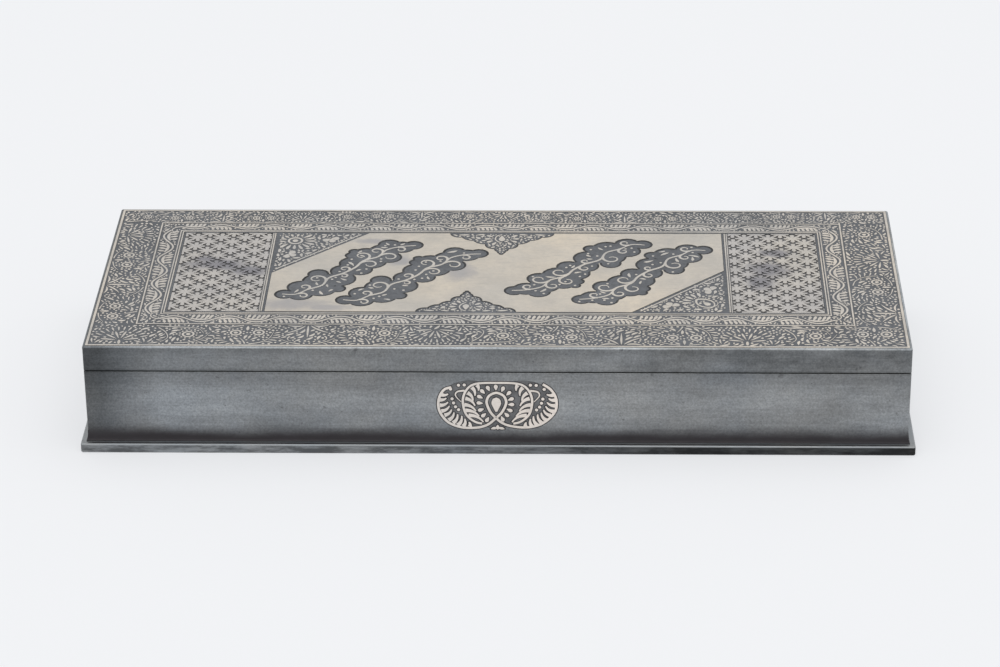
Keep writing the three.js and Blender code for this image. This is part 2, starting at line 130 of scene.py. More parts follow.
def smoothPath(points, steps=5):
    # A smooth line through the points
    path = []
    for i in range(len(points) - 1):
        before, start = points[max(i - 1, 0)], points[i]
        end, after = points[i + 1], points[min(i + 2, len(points) - 1)]
        for k in range(steps):
            t = k / steps
            path.append(tuple(0.5 * (2 * s + (e - b) * t + (2 * b - 5 * s + 4 * e - a) * t * t
                                     + (3 * s - b - 3 * e + a) * t ** 3)
                              for b, s, e, a in zip(before, start, end, after)))
    return path + [points[-1]]


def outlineOf(path, width, profile, grow=0):
    # The stroke's edge; with grow it is that much wider and longer all round
    last = len(path) - 1
    left, right = [], []
    for i, (x, y) in enumerate(path):
        before, after = path[max(i - 1, 0)], path[min(i + 1, last)]
        run = math.dist(before, after)
        runX, runY = (after[0] - before[0]) / run, (after[1] - before[1]) / run
        longer = -grow if i == 0 else grow if i == last else 0
        half = max(tipWidth, width * profiles[profile](i / last)) / 2 + grow
        x, y = x + longer * runX, y + longer * runY
        left.append((x - runY * half, y + runX * half))
        right.append((x + runY * half, y - runX * half))
    return right + left[::-1]


class Pattern:
    # The silver of one area: outlines that keep a gap between them and lie inside the area. With a halo, the
    # same outlines that much larger are kept too, for a painted shadow line round them.
    cell = 1.6  # side of the squares that the discs are filed in

    def __init__(self, inside=lambda x, y, radius: True, gap=0.3, halo=0):
        self.inside = inside
        self.gap = gap
        self.halo = halo
        self.outlines = []
        self.halos = []
        self.discs = {}
        self.rings = []

    def take(self, x, y, radius):
        self.discs.setdefault((int(x // self.cell), int(y // self.cell)), []).append((x, y, radius))

    def isFree(self, x, y, radius):
        if not self.inside(x, y, radius):
            return False
        column, row = int(x // self.cell), int(y // self.cell)
        for i in (column - 1, column, column + 1):
            for j in (row - 1, row, row + 1):
                for otherX, otherY, otherRadius in self.discs.get((i, j), ()):
                    room = radius + otherRadius + self.gap
                    if (x - otherX) ** 2 + (y - otherY) ** 2 < room * room:
                        return False
        return True

    def discsOf(self, path, width, profile):
        last = len(path) - 1
        discs = []
        for i in range(2 * last + 1):
            low, share = min(i // 2, last - 1), i / 2 - min(i // 2, last - 1)
            x = path[low][0] + share * (path[low + 1][0] - path[low][0])
            y = path[low][1] + share * (path[low + 1][1] - path[low][1])
            discs.append((x, y, max(tipWidth, width * profiles[profile](i / 2 / last)) / 2))
        return discs

    def stroke(self, path, width, profile="leaf", force=False, least=1.0):
        # A stroke with no room is cut short, down to the least share of its length, or left out
        discs = self.discsOf(path, width, profile)
        shortest = max(3, math.ceil(least * (len(path) - 1)))
        while not force and not all(self.isFree(*disc) for disc in discs):
            path = path[:-1]
            if len(path) - 1 < shortest:
                return False
            discs = self.discsOf(path, width, profile)
        self.outlines.append(outlineOf(path, width, profile))
        if self.halo:
            self.halos.append(outlineOf(path, width, profile, self.halo))
        for disc in discs:
            self.take(*disc)
        return True

    def dot(self, x, y, radius, sides=8, force=False):
        if not force and not self.isFree(x, y, radius):
            return False
        turn = 2 * math.pi / sides
        grown = [(self.outlines, radius)] + ([(self.halos, radius + self.halo)] if self.halo else [])
        for outlines, reach in grown:
            outlines.append([(x + reach * math.cos(turn * (i + 0.5)), y + reach * math.sin(turn * (i + 0.5)))
                             for i in range(sides)])
        self.take(x, y, radius)
        return True

    def wire(self, path, width):
        self.stroke(path, width, "wire", force=True)

    def ring(self, x, y, radius, width, centre):
        start, steps = (37 * x + 91 * y) % 360, 24  # the ring's wire meets at the start
        around = [awayFrom(x, y, radius - width / 2, start + 359 * i / steps) for i in range(steps + 1)]
        if not all(self.isFree(px, py, width / 2) for px, py in around) or not self.isFree(x, y, centre):
            return
        self.rings.append((x, y))
        self.wire(around, width)
        self.dot(x, y, centre, force=True)
        for px, py in around:  # nothing else goes between the ring and its middle
            self.take(x + 0.5 * (px - x), y + 0.5 * (py - y), radius * 0.25)


class Pen:
    # Draws a motif on a pattern in the motif's own place, turn, size and hand
    def __init__(self, pattern, x, y, turn=0, size=1, flip=1):
        self.pattern, self.x, self.y, self.turn, self.size, self.flip = pattern, x, y, turn, size, flip
        self.wide = 0.5 + 0.5 * size if size < 1 else size  # a small motif keeps stout strokes

    def at(self, u, v):
        cos, sin = math.cos(math.radians(self.turn)), math.sin(math.radians(self.turn))
        return (self.x + self.size * (u * cos - self.flip * v * sin),
                self.y + self.size * (u * sin + self.flip * v * cos))

    def line(self, u, v, heading, length, bend=0, width=0.55, profile="leaf", steps=6, tighten=0, force=False,
             least=0.7):
        path = bentPath(*self.at(u, v), self.turn + self.flip * heading, self.size * length, self.flip * bend,
                        steps, tighten)
        self.pattern.stroke(path, width * self.wide, profile, force, least)

    def through(self, points, width, profile, force=False):
        path = smoothPath([self.at(u, v) for u, v in points])
        self.pattern.stroke(path, width * self.wide, profile, force, least=0.5)

    def dot(self, u, v, radius):
        self.pattern.dot(*self.at(u, v), radius * self.size)

    def ring(self, u, v, radius, width, centre):
        self.pattern.ring(*self.at(u, v), radius * self.size, width * self.size, centre * self.size)

    def fan(self, u, v, start, end, count, inner, length, width, bend=0):
        for i in range(count):
            angle = start + (end - start) * i / (count - 1)
            self.line(*awayFrom(u, v, inner, angle), angle - bend / 2, length, bend, width, "drop")

    def dotsRound(self, u, v, radius, count, size, start=0, end=360):
        for i in range(count):
            self.dot(*awayFrom(u, v, radius, start + (end - start) * (i + 0.5) / count), size)


def scattered(area, spacing, rng):
    # A spot in each square of the area, in random order
    left, front, right, back = area
    spots = [(left + spacing * (i + rng.random()), front + spacing * (j + rng.random()))
             for i in range(int((right - left) / spacing)) for j in range(int((back - front) / spacing))]
    rng.shuffle(spots)
    return spots


def fillArea(pattern, area, rng, leaf, dot, flow, bends=(-35, 35)):
    # Leaves that follow the flow first, then dots in what room is left
    for spacing, length, width in leaf:
        for x, y in scattered(area, spacing, rng):
            path = bentPath(x, y, flow(x, y), length * rng.uniform(0.85, 1.15), rng.choice(bends), 4)
            pattern.stroke(path, width, rng.choice(("leaf", "drop")))
    for x, y in scattered(area, dot["spacing"], rng):
        for radius in dot["radii"]:  # the largest that has room
            if pattern.dot(x, y, radius, sides=7):
                break


def swirl(scale, seed):
    # A heading that drifts from place to place, by up to two turns either way
    return lambda x, y: 720 * noise.noise(Vector((x / scale, y / scale, seed)))


def fanOut(rings, lean):
    # Away from the nearest ring, leaning to one side
    def flow(x, y):
        ringX, ringY = min(rings, key=lambda ring: math.dist(ring, (x, y)))
        return math.degrees(math.atan2(y - ringY, x - ringX)) + lean

    return flow


# Making pieces from outlines

def cutTo(bm, rect, shortEdge):
    # In triangles, because a cut right across several petals of one face would lose it. Short edges are
    # closed up, because the inset would turn them to spikes.
    left, front, right, back = rect
    bmesh.ops.triangulate(bm, faces=bm.faces[:])
    for point, normal in (((left, 0, 0), (-1, 0, 0)), ((right, 0, 0), (1, 0, 0)),
                          ((0, front, 0), (0, -1, 0)), ((0, back, 0), (0, 1, 0))):
        bmesh.ops.bisect_plane(bm, geom=bm.verts[:] + bm.edges[:] + bm.faces[:], dist=1e-5,
                               plane_co=point, plane_no=normal, clear_outer=True)
    bmesh.ops.dissolve_faces(bm, faces=bm.faces[:], use_verts=False)
    bmesh.ops.dissolve_degenerate(bm, dist=shortEdge, edges=bm.edges[:])


def objectFrom(bm, name, material):
    mesh = bpy.data.meshes.new(name)
    bm.to_mesh(mesh)
    bm.free()
    mesh.materials.append(material)
    made = bpy.data.objects.new(name, mesh)
    bpy.context.scene.collection.objects.link(made)
    return made


def inlayMesh(name, outlines, place, inlay, body, material, clip=None):
    # One piece with a low block for each outline, whose upper edge is eased
    rng = random.Random(name)
    bm = bmesh.new()
    for outline in outlines:
        floor = -inlay["sunk"] - rng.uniform(0, inlay["uneven"])
        bm.faces.new([bm.verts.new((x, y, floor)) for x, y in outline])
    if clip:
        cutTo(bm, clip, inlay["shortEdge"])
    bm.normal_update()
    for face in bm.faces:
        if face.normal.z < 0:
            face.normal_flip()
    grown = bmesh.ops.extrude_face_region(bm, geom=bm.faces[:], use_keep_orig=True)
    tops = [item for item in grown["geom"] if isinstance(item, bmesh.types.BMFace)]
    upper = list({vert for face in tops for vert in face.verts})
    bmesh.ops.translate(bm, verts=upper, vec=(0, 0, inlay["sunk"] + inlay["proud"] - inlay["ease"]))
    bmesh.ops.inset_individual(bm, faces=tops, thickness=inlay["ease"] * easeWidth, depth=inlay["ease"])
    bmesh.ops.recalc_face_normals(bm, faces=bm.faces[:])
    bmesh.ops.transform(bm, matrix=place, verts=bm.verts[:])
    piece = objectFrom(bm, name, material)
    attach(piece, body)
    triangles = sum(len(face.vertices) - 2 for face in piece.data.polygons)
    print(f"  {name}: {len(outlines)} shapes, {triangles} triangles")
    return piece


def inlayLid(name, pattern, material):
    inlayMesh(name, pattern.outlines, onLid, fineInlay, "lid", material)


inMetres = Matrix.Diagonal((mm, mm, mm, 1))
onLid = inMetres @ Matrix.Translation((0, 0, plateTop))
onFront = (inMetres @ Matrix.Translation((badgeMiddle[0], frontFace, badgeMiddle[1]))
           @ Matrix.Rotation(math.radians(90), 4, "X"))
easeWidth = 1.6  # how much wider than high an eased edge is
fineInlay = {"sunk": 0.08, "proud": 0.1, "ease": 0.03, "uneven": 0.012}
starInlay = {"sunk": 0.24, "proud": 0.1, "ease": 0.04, "uneven": 0.01, "shortEdge": 0.12}
rimInlay = {"sunk": 0.06, "proud": 0.03, "ease": 0.01, "uneven": 0.01}


# Finishes

class NodeTree:
    # Nodes are added one by one; an input that is a socket is linked, any other is set
    def __init__(self, tree):
        self.nodes = tree.nodes
        self.links = tree.links

    def node(self, kind, inputs, output=0, **settings):
        made = self.nodes.new("ShaderNode" + kind)
        for key, value in settings.items():
            setattr(made, key, value)
        self.feed(made, inputs)
        return made.outputs[output]

    def feed(self, made, inputs):
        for key, value in inputs.items():
            socket = made.inputs[key]
            if isinstance(value, bpy.types.NodeSocket):
                self.links.new(value, socket)
            else:
                socket.default_value = (*value, 1) if socket.type == "RGBA" else value

    def math(self, operation, first, second=0.0):
        return self.node("Math", {0: first, 1: second}, operation=operation)

    def seenDirectly(self):
        # 1 where the camera or a reflection sees it, 0 where it only lights other things
        path = self.nodes.new("ShaderNodeLightPath").outputs
        return self.math("MAXIMUM", path["Is Camera Ray"], path["Is Glossy Ray"])


class Finish(NodeTree):
    # A material that is laid out in the object's own coordinates
    def __init__(self, name):
        self.material = bpy.data.materials.new(name)
        self.material.use_nodes = True
        super().__init__(self.material.node_tree)
        self.shader = self.nodes["Principled BSDF"]
        self.place = self.nodes.new("ShaderNodeTexCoord").outputs["Object"]

    def stretched(self, scale):
        return self.node("Mapping", {"Vector": self.place, "Scale": scale})

    def grain(self, scale, detail=4, roughness=0.55, vector=None):
        return self.node("TexNoise", {"Vector": vector or self.place, "Scale": scale, "Detail": detail,
                                      "Roughness": roughness})

    def span(self, value, low, high, toLow=0.0, toHigh=1.0):
        return self.node("MapRange", {"Value": value, "From Min": low, "From Max": high,
                                      "To Min": toLow, "To Max": toHigh})

    def ramp(self, value, low, high):
        return self.node("MapRange", {"Value": value, "From Min": low, "From Max": high},
                         interpolation_type="SMOOTHSTEP")

    def between(self, share, first, second):
        return self.node("Mix", {0: share, 2: first, 3: second}, data_type="FLOAT")

    def times(self, colour, factor):
        return self.node("VectorMath", {0: colour, 3: factor}, operation="SCALE")

    def blend(self, share, first, second):
        return self.node("Mix", {0: share, 6: first, 7: second}, 2, data_type="RGBA")

    def stain(self, colour, mask, share, tint):
        # The tint over the colour, as strong as the mask times the share
        return self.blend(self.math("MULTIPLY", mask, share), colour, tint)

    def dents(self, fine, share, broad):
        return self.math("ADD", self.math("MULTIPLY", self.grain(fine, 3), share), self.grain(broad, 4))

    def smudge(self, spots):
        # A soft mask, full at each spot of the lid's face and ragged at its edge. A spot is its x and y and
        # its two radii, in mm.
        ragged = self.span(self.grain(90, 5, 0.65), 0.3, 0.7, 0.55, 1.45)
        total = None
        for x, y, radiusX, radiusY in spots:
            moved = self.node("Mapping", {
                "Vector": self.place,
                "Location": (-x / radiusX, -y / radiusY, -plateTop / smudgeDepth),
                "Scale": (1 / radiusX / mm, 1 / radiusY / mm, 1 / smudgeDepth / mm),
            })
            away = self.node("VectorMath", {0: moved}, output="Value", operation="LENGTH")
            mask = self.ramp(self.math("MULTIPLY", away, ragged), 1.2, 0.3)
            total = mask if total is None else self.math("MAXIMUM", total, mask)
        return total

    def finish(self, colour, roughness, bump, strength, distance):
        normal = self.node("Bump", {"Height": bump, "Strength": strength, "Distance": distance})
        self.feed(self.shader, {"Base Color": colour, "Roughness": roughness, "Normal": normal,
                                "Metallic": 1.0})
        return self.material


# Some of these tones are painted light: the walls' painted highlight, the painted shade by the seam and the
# painted highlight on the base plate's top edge
alloyLook = {"cool": (0.197, 0.21, 0.222), "warm": (0.219, 0.224, 0.225), "pit": (0.07, 0.07, 0.072),
             "foot": (0.048, 0.044, 0.047), "wallHighlight": 0.4, "leftEnd": 0.42, "lidRight": 0.2, "farRight": 0.55,
             "seam": 0.72, "plateRight": 0.24, "plateHighlight": 1.42, "pits": 0.55}
# Where the alloy's tone changes, in metres along the box or above its foot
alloyPlaces = {"wallFoot": (0.004, 0.018), "wallTop": (0.0325, 0.020), "leftEnd": (-0.144, -0.122),
               "lid": (0.0322, 0.0328), "lidRight": (-0.01, 0.06), "farRight": (0.085, 0.12), "seam": 0.0326,
               "seamFade": (0.0002, 0.0012), "plateRight": (-0.02, 0.07), "plateHighlight": (0.0031, 0.0034),
               "plate": (0.0040, 0.0037), "foot": (0.0112, 0.0052), "footRagged": (-0.0009, 0.0009)}


def alloyTone(f, look=alloyLook, where=alloyPlaces):
    # Alloy with wear, by its place, and painted light: a painted highlight halfway up the walls, painted
    # shade along the seam and a painted highlight on the base plate's top edge; duller at the left end and
    # the lid's right half
    apart = f.node("SeparateXYZ", {"Vector": f.place}).node
    x, z = apart.outputs["X"], apart.outputs["Z"]
    colour = f.blend(f.span(f.grain(24, 4, 0.6), 0.36, 0.64), look["cool"], look["warm"])
    tone = f.span(f.grain(1300, 3, 0.7), 0.3, 0.7, 0.78, 1.22)
    smears = f.span(f.grain(55, 5, 0.65, f.stretched((0.35, 1, 1.6))), 0.3, 0.7, 0.79, 1.21)
    brushing = f.span(f.grain(160, 4, 0.7, f.stretched((0.2, 4, 7))), 0.3, 0.7, 0.91, 1.09)
    # A painted highlight: the walls up to 0.4 lighter between 18 and 20 mm up, fading to none at the foot and
    # at the seam
    wallHighlight = f.math("MINIMUM", f.ramp(z, *where["wallFoot"]), f.ramp(z, *where["wallTop"]))
    wallHighlight = f.node("Math", {0: wallHighlight, 1: look["wallHighlight"], 2: 1.0}, operation="MULTIPLY_ADD")
    leftEnd = f.span(x, *where["leftEnd"], look["leftEnd"], 1)
    blotches = f.span(f.grain(60, 5, 0.7, f.stretched((0.6, 1, 1))), 0.4, 0.6, -0.3, 1.6)
    lidRight = f.math("MULTIPLY", f.span(z, *where["lid"]), f.span(x, *where["lidRight"]))
    lidRight = f.math("MAXIMUM", lidRight, f.span(x, *where["farRight"], 0, look["farRight"]))
    lidRight = f.math("MULTIPLY", lidRight, blotches)
    lidRight = f.math("SUBTRACT", 1.0, f.math("MULTIPLY", lidRight, look["lidRight"]))
    # Painted shade: the alloy up to 0.28 darker within 1.2 mm of the seam between lid and walls, above and
    # below it
    fromSeam = f.math("ABSOLUTE", f.math("SUBTRACT", z, where["seam"]))
    seam = f.span(fromSeam, *where["seamFade"], look["seam"], 1)
    for factor in (smears, brushing, wallHighlight, leftEnd, lidRight, seam):
        tone = f.math("MULTIPLY", tone, factor)
    plate = f.span(f.grain(75, 5, 0.75, f.stretched((0.6, 1, 3))), 0.42, 0.58, 0.54, 1.4)
    plate = f.math("MULTIPLY", plate, f.span(x, *where["plateRight"], 1, look["plateRight"]))
    # A painted highlight: the base plate's top edge 1.42 times lighter
    plate = f.between(f.span(z, *where["plateHighlight"]), plate, look["plateHighlight"])
    tone = f.between(f.span(z, *where["plate"]), tone, plate)
    colour = f.times(colour, tone)
    pits = f.math("MAXIMUM", f.span(f.grain(650, 2, 0.5), 0.70, 0.76),
                  f.span(f.grain(210, 3, 0.6), 0.69, 0.75))
    colour = f.stain(colour, pits, look["pits"], look["pit"])
    ragged = f.span(f.grain(60, 6, 0.66, f.stretched((0.5, 1, 1))), 0.3, 0.7, *where["footRagged"])
    foot = f.ramp(f.math("ADD", z, ragged), *where["foot"])
    footMask = f.math("MULTIPLY", foot, f.span(z, *reversed(where["plate"])))
    return f.blend(footMask, colour, look["foot"])


def alloyFinish():
    # Alloy with wear, which also carries the painted highlights and painted shade of its tone
    f = Finish("alloy with wear and painted light")
    rough = f.span(f.grain(160, 4, 0.6), 0.3, 0.7, 0.34, 0.52)
    return f.finish(alloyTone(f), rough, f.dents(900, 0.5, 140), 0.32, 0.0004)


# The factor for the upper arris is edge wear and a painted highlight
groundLook = {"base": (0.126, 0.132, 0.143), "pale": (0.172, 0.18, 0.194), "dark": (0.075, 0.077, 0.082),
              "recess": (0.16, 0.158, 0.16), "arrisWearAndHighlight": 1.85, "specks": 0.5, "recessed": 0.85}
# In metres: heights, how far out, and for the recesses how far from the plate's upper face
groundPlaces = {"recess": (-0.00005, -0.00018), "ends": (0.149, 0.1493), "sides": (0.058, 0.0583),
                "under": (0.0418, 0.0410), "arrisWearAndHighlight": (0.0418, 0.0420)}


def groundFinish(look=groundLook, where=groundPlaces):
    # The lid's plate: blackened ground between the silver, greyer in the recesses, the walls' alloy tone with
    # its wear round its edge, with edge wear and a painted highlight along its upper arris
    f = Finish("blackened alloy")
    apart = f.node("SeparateXYZ", {"Vector": f.place}).node
    x, y, z = (apart.outputs[axis] for axis in "XYZ")
    colour = f.blend(f.span(f.grain(45, 5, 0.6), 0.35, 0.68), look["base"], look["pale"])
    colour = f.stain(colour, f.span(f.grain(700, 4, 0.7), 0.38, 0.66), look["specks"], look["dark"])
    below = f.span(z, *(plateTop * mm + depth for depth in where["recess"]))
    outside = f.math("MAXIMUM", f.span(f.math("ABSOLUTE", x), *where["ends"]),
                     f.span(f.math("ABSOLUTE", y), *where["sides"]))
    recess = f.math("MULTIPLY", below, f.math("SUBTRACT", 1.0, outside))
    colour = f.stain(colour, recess, look["recessed"], look["recess"])
    # Edge wear and a painted highlight: the upper arris up to 1.85 times lighter
    edge = f.times(alloyTone(f), f.span(z, *where["arrisWearAndHighlight"], 1, look["arrisWearAndHighlight"]))
    colour = f.blend(f.math("MAXIMUM", outside, f.span(z, *where["under"])), colour, edge)
    rough = f.span(f.grain(260, 4, 0.6), 0.3, 0.7, 0.42, 0.6)
    return f.finish(colour, rough, f.dents(1600, 0.5, 300), 0.3, 0.0002)


def darkFinish(name, dark, pale):
    f = Finish(name)
    colour = f.blend(f.span(f.grain(300, 4, 0.7), 0.35, 0.68), dark, pale)
    rough = f.span(f.grain(200, 4), 0.3, 0.7, 0.5, 0.7)
    return f.finish(colour, rough, f.grain(1200, 3), 0.3, 0.0001)


def silverFinish(name, look):
    f = Finish(name)
    colour = f.blend(f.span(f.grain(16, 4, 0.6), 0.34, 0.66), look["cool"], look["warm"])
    masks = {"cloudy": f.span(f.grain(55, 6, 0.68), 0.36, 0.7),
             "specks": f.span(f.grain(520, 4, 0.7), 0.42, 0.72),
             "scratches": f.span(f.grain(90, 4, 0.8, f.stretched((1, 14, 4))), 0.55, 0.72)}
    for key, mask in masks.items():
        colour = f.stain(colour, mask, look[key], look["dull"])
    if look["smudges"]:
        colour = f.stain(colour, f.smudge(look["smudges"]), look["smudged"], look["tarnish"])
    rough = f.span(f.grain(210, 4, 0.6), 0.3, 0.7, look["rough"], look["rough"] + 0.16)
    return f.finish(colour, rough, f.dents(1500, 0.35, 180), look["bump"], 0.0002)


smudgeDepth = 6  # how far above and below the lid's face a smudge reaches
tarnishSpots = [(-107, 9, 14, 6), (-95, 4, 9, 5), (-112, 14, 6, 3), (101, 6, 9, 9), (97, -5, 7, 7),
                (104, 20, 8, 4)]
silverLook = {"cool": (0.61, 0.58, 0.54), "warm": (0.74, 0.665, 0.57), "dull": (0.30, 0.295, 0.29),
              "cloudy": 0.4, "specks": 0.3, "scratches": 0.3, "rough": 0.3, "bump": 0.3,
              "smudges": tarnishSpots, "smudged": 0.72, "tarnish": (0.17, 0.168, 0.2)}
sheetLook = {"cool": (0.56, 0.525, 0.475), "warm": (0.72, 0.63, 0.51), "dull": (0.38, 0.365, 0.34),
             "cloudy": 0.45, "specks": 0.25, "scratches": 0.6, "rough": 0.34, "bump": 0.25,
             "smudges": [(-76, -24, 13, 6), (-64, -27, 10, 3), (-38, 12, 5, 4), (-50, 30, 9, 3),
                         (-16, 4, 6, 12)],
             "smudged": 0.55, "tarnish": (0.30, 0.30, 0.33)}
starLook = {**silverLook, "cool": (0.51, 0.49, 0.485), "warm": (0.615, 0.572, 0.51), "cloudy": 0.35}
medallionLook = {**silverLook, "smudges": None, "cool": (0.80, 0.75, 0.70), "warm": (0.93, 0.84, 0.76),
                 "dull": (0.45, 0.42, 0.39), "cloudy": 0.3}
lineLook = {**silverLook, "cloudy": 0.5}
brassLook = {"base": (0.20, 0.145, 0.07), "pale": (0.34, 0.255, 0.13), "dark": (0.08, 0.065, 0.045),
             "specks": 0.5}


def brassFinish():
    f = Finish("darkened brass")
    colour = f.blend(f.span(f.grain(120, 5, 0.65), 0.35, 0.68), brassLook["base"], brassLook["pale"])
    specks = f.span(f.grain(700, 4, 0.7), 0.42, 0.7)
    colour = f.stain(colour, specks, brassLook["specks"], brassLook["dark"])
    rough = f.span(f.grain(260, 4), 0.3, 0.7, 0.34, 0.52)
    return f.finish(colour, rough, f.grain(900, 3), 0.25, 0.0002)


alloyWithWearAndPaintedLight = alloyFinish()
groundAlloy = groundFinish()
# Dark for the clouds' rims, and for the painted shadow round the medallion's silver
darkGrooveAndShadow = darkFinish("darkened groove and painted shadow", (0.045, 0.045, 0.048), (0.085, 0.087, 0.09))
inlaySilver = silverFinish("inlaid silver", silverLook)
sheetSilver = silverFinish("silver sheet", sheetLook)
lineSilver = silverFinish("silver line", lineLook)
starSilver = silverFinish("star silver", starLook)
medallionSilver = silverFinish("medallion silver", medallionLook)
medallionGround = darkFinish("medallion ground", (0.135, 0.135, 0.137), (0.23, 0.232, 0.237))
darkBrass = brassFinish()

nodeFinishes = {"centre_sheet": sheetSilver, "lid_top_plate": groundAlloy, "outer_border_line": lineSilver,
                "inner_border_line": lineSilver, "panel_border_line": lineSilver,
                "left_panel_divider": lineSilver, "right_panel_divider": lineSilver}
for nodeName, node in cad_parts.items():
    finish = nodeFinishes.get(nodeName, darkBrass if "hinge" in nodeName else alloyWithWearAndPaintedLight)
    node.data.materials.clear()
    node.data.materials.append(finish)
print("Finishes made")


# Floral border

borderUnit = {"length": 23.5, "gap": 0.38, "margin": 0.2, "lean": 32, "bends": (30, 58)}
borderFill = {"leaf": ((1.6, 3.7, 1.06), (1.25, 2.3, 0.92)), "dot": {"spacing": 0.65, "radii": (0.54, 0.42)}}
headRing = {"radius": 2.25, "width": 0.72, "centre": 0.8}


def head(pen, u, v, size=1.0, dots=11):
    # A poppy head seen from the front, with a ring of dots round it
    pen.ring(u, v, headRing["radius"] * size, headRing["width"], headRing["centre"] * size)
    pen.dotsRound(u, v, headRing["radius"] * size + 0.85, dots, 0.4)


def feather(pen, points, side, barbs, length, lean=48, width=0.6):
    # A bent rib with curved barbs along one side
    pen.through(points, 0.5, "whip")
    rib = smoothPath(points, 6)
    for k in range(barbs):
        i = 1 + round((len(rib) - 3) * (k + 0.3) / barbs)
        (u0, v0), (u1, v1) = rib[i - 1], rib[i + 1]
        along = math.degrees(math.atan2(v1 - v0, u1 - u0))
        u, v = awayFrom(*rib[i], 0.62, along + side * 90)
        reach = length * (0.65 + 0.35 * math.sin(math.pi * (k + 0.5) / barbs))
        pen.line(u, v, along + side * (90 - lean), reach, side * 38, width, "drop", 6, least=0.55)


def pairMotif(pen):
    # Two heads on one foot, with feathers that fall away from it
    for side in (-1, 1):
        head(pen, side * 4.3, 1.6)
        pen.line(side * 0.4, -7.4, 90 - side * 14, 6.4, side * -26, 0.62, "whip")
        feather(pen, mirrored(((1.0, -7.7), (5.2, -6.4), (8.6, -2.8), (9.8, 2.2)), side), -side, 8, 3.4)
        feather(pen, mirrored(((1.6, 7.4), (5.6, 6.6), (9.2, 4.6)), side), side, 5, 2.2)
    pen.fan(0, -5.4, 38, 142, 7, 2.0, 3.2, 0.85, 0)
    pen.line(0, 3.4, 90, 3.6, 0, 1.15, "leaf")
    pen.dotsRound(0, 3.4, 2.4, 5, 0.36, 10, 170)


def palmetteMotif(pen):
    # A spread of fronds over two curls, between two smaller heads
    pen.line(0, -7.6, 90, 3.0, 0, 1.1, "swell")
    pen.fan(0, -4.6, 10, 170, 11, 1.6, 5.4, 0.8, 0)
    pen.fan(0, -4.6, 18, 162, 12, 7.6, 3.0, 0.7, 0)
    for side in (-1, 1):
        head(pen, side * 9.4, 3.6, 0.92, 10)
        pen.line(side * 0.9, -7.4, 90 - side * 70, 9.5, side * 235, 0.55, "whip", 12, 2.2, least=0.6)
        pen.fan(side * 9.4, -7.6, 90 - side * 75, 90 + side * 60, 7, 1.2, 3.6, 0.66, side * 26)
    pen.dotsRound(0, -4.6, 11.0, 9, 0.38, 30, 150)


def scrollMotif(pen):
    # A long curl with barbs along its back and one head in its eye
    head(pen, 1.8, -0.2, 1.05, 12)
    feather(pen, ((-10.6, -6.8), (-5.0, -6.2), (0.8, -5.6), (5.4, -4.4), (7.6, -0.6)), -1, 9, 1.6, 30, 0.66)
    feather(pen, ((-9.6, -5.4), (-6.6, -1.6), (-5.6, 3.0), (-8.4, 6.6)), 1, 6, 3.0)
    feather(pen, ((-2.6, 6.8), (2.6, 6.2), (7.0, 3.6), (9.8, -1.6)), 1, 7, 3.2)
    pen.fan(8.6, -7.2, 25, 165, 7, 1.2, 3.2, 0.72, -16)


def bushMotif(pen):
    # Tall curved leaves that spread from one foot, under a bud
    for k in range(-4, 5):
        lean = k * 17
        pen.line(0.5 * k, -7.2, 90 - lean, 9.2 - 0.16 * k ** 2, lean * -0.9, 0.78, "leaf", 8, least=0.5)
    for side in (-1, 1):
        head(pen, side * 8.6, -3.6, 0.86, 9)
        feather(pen, mirrored(((2.4, 7.4), (6.4, 6.0), (10.2, 3.0)), side), side, 6, 2.6)
        pen.line(side * 6.4, 1.4, 90 - side * 50, 4.4, side * 120, 0.6, "whip", 8)
    pen.dotsRound(0, 4.0, 3.0, 7, 0.4, 20, 160)


def rectArea(rect, margin):
    left, front, right, back = rect
    return lambda x, y, r: (left + margin + r <= x <= right - margin - r
                            and front + margin + r <= y <= back - margin - r)


def floralBand(name, rect, turn, size, seed):
    unit = borderUnit
    left, front, right, back = rect
    pattern = Pattern(rectArea(rect, unit["margin"]), unit["gap"] * size)
    rng = random.Random(seed)
    length = right - left if turn == 0 else back - front
    count = max(1, round(length / (unit["length"] * size)))
    middleX, middleY = (left + right) / 2, (front + back) / 2
    motifs = (pairMotif, palmetteMotif, scrollMotif, pairMotif, bushMotif)
    for i in range(count):
        along = length * ((i + 0.5) / count - 0.5) + rng.uniform(-0.6, 0.6)
        x, y = (middleX + along, middleY) if turn == 0 else (middleX, middleY + along)
        flip = 1 if i % 2 == 0 else -1
        pen = Pen(pattern, x, y, turn + rng.uniform(-2, 2), size * rng.uniform(0.97, 1.02), flip)
        motifs[(i + seed) % len(motifs)](pen)
    fillArea(pattern, rect, rng, borderFill["leaf"], borderFill["dot"], fanOut(pattern.rings, unit["lean"]),
             unit["bends"])
    inlayLid(name, pattern, inlaySilver)


def floralBorder():
    left, front, right, back = rectOf(outerLine, lineWidths["outer"])
    innerLeft, innerFront, innerRight, innerBack = rectOf(innerLine)
    floralBand("floral_border_front", (left, front, right, innerFront), 0, 1.0, 1)
    floralBand("floral_border_back", (left, innerBack, right, back), 0, 0.66, 2)
    floralBand("floral_border_left", (left, innerFront, innerLeft, innerBack), 90, 0.98, 3)
    floralBand("floral_border_right", (innerRight, innerFront, right, innerBack), 90, 0.98, 4)


floralBorder()
print("Floral border made")


# Vine band between the two inner lines

vine = {"bay": 10.2, "swing": 0.31, "stem": 0.72, "teeth": 5, "sideTeeth": 4, "tooth": 1.22, "lean": 34,
        "edge": 0.5, "margin": 0.25, "corner": 9}
fineLine = {"width": 0.42, "gap": 0.5, "beside": 0.36}


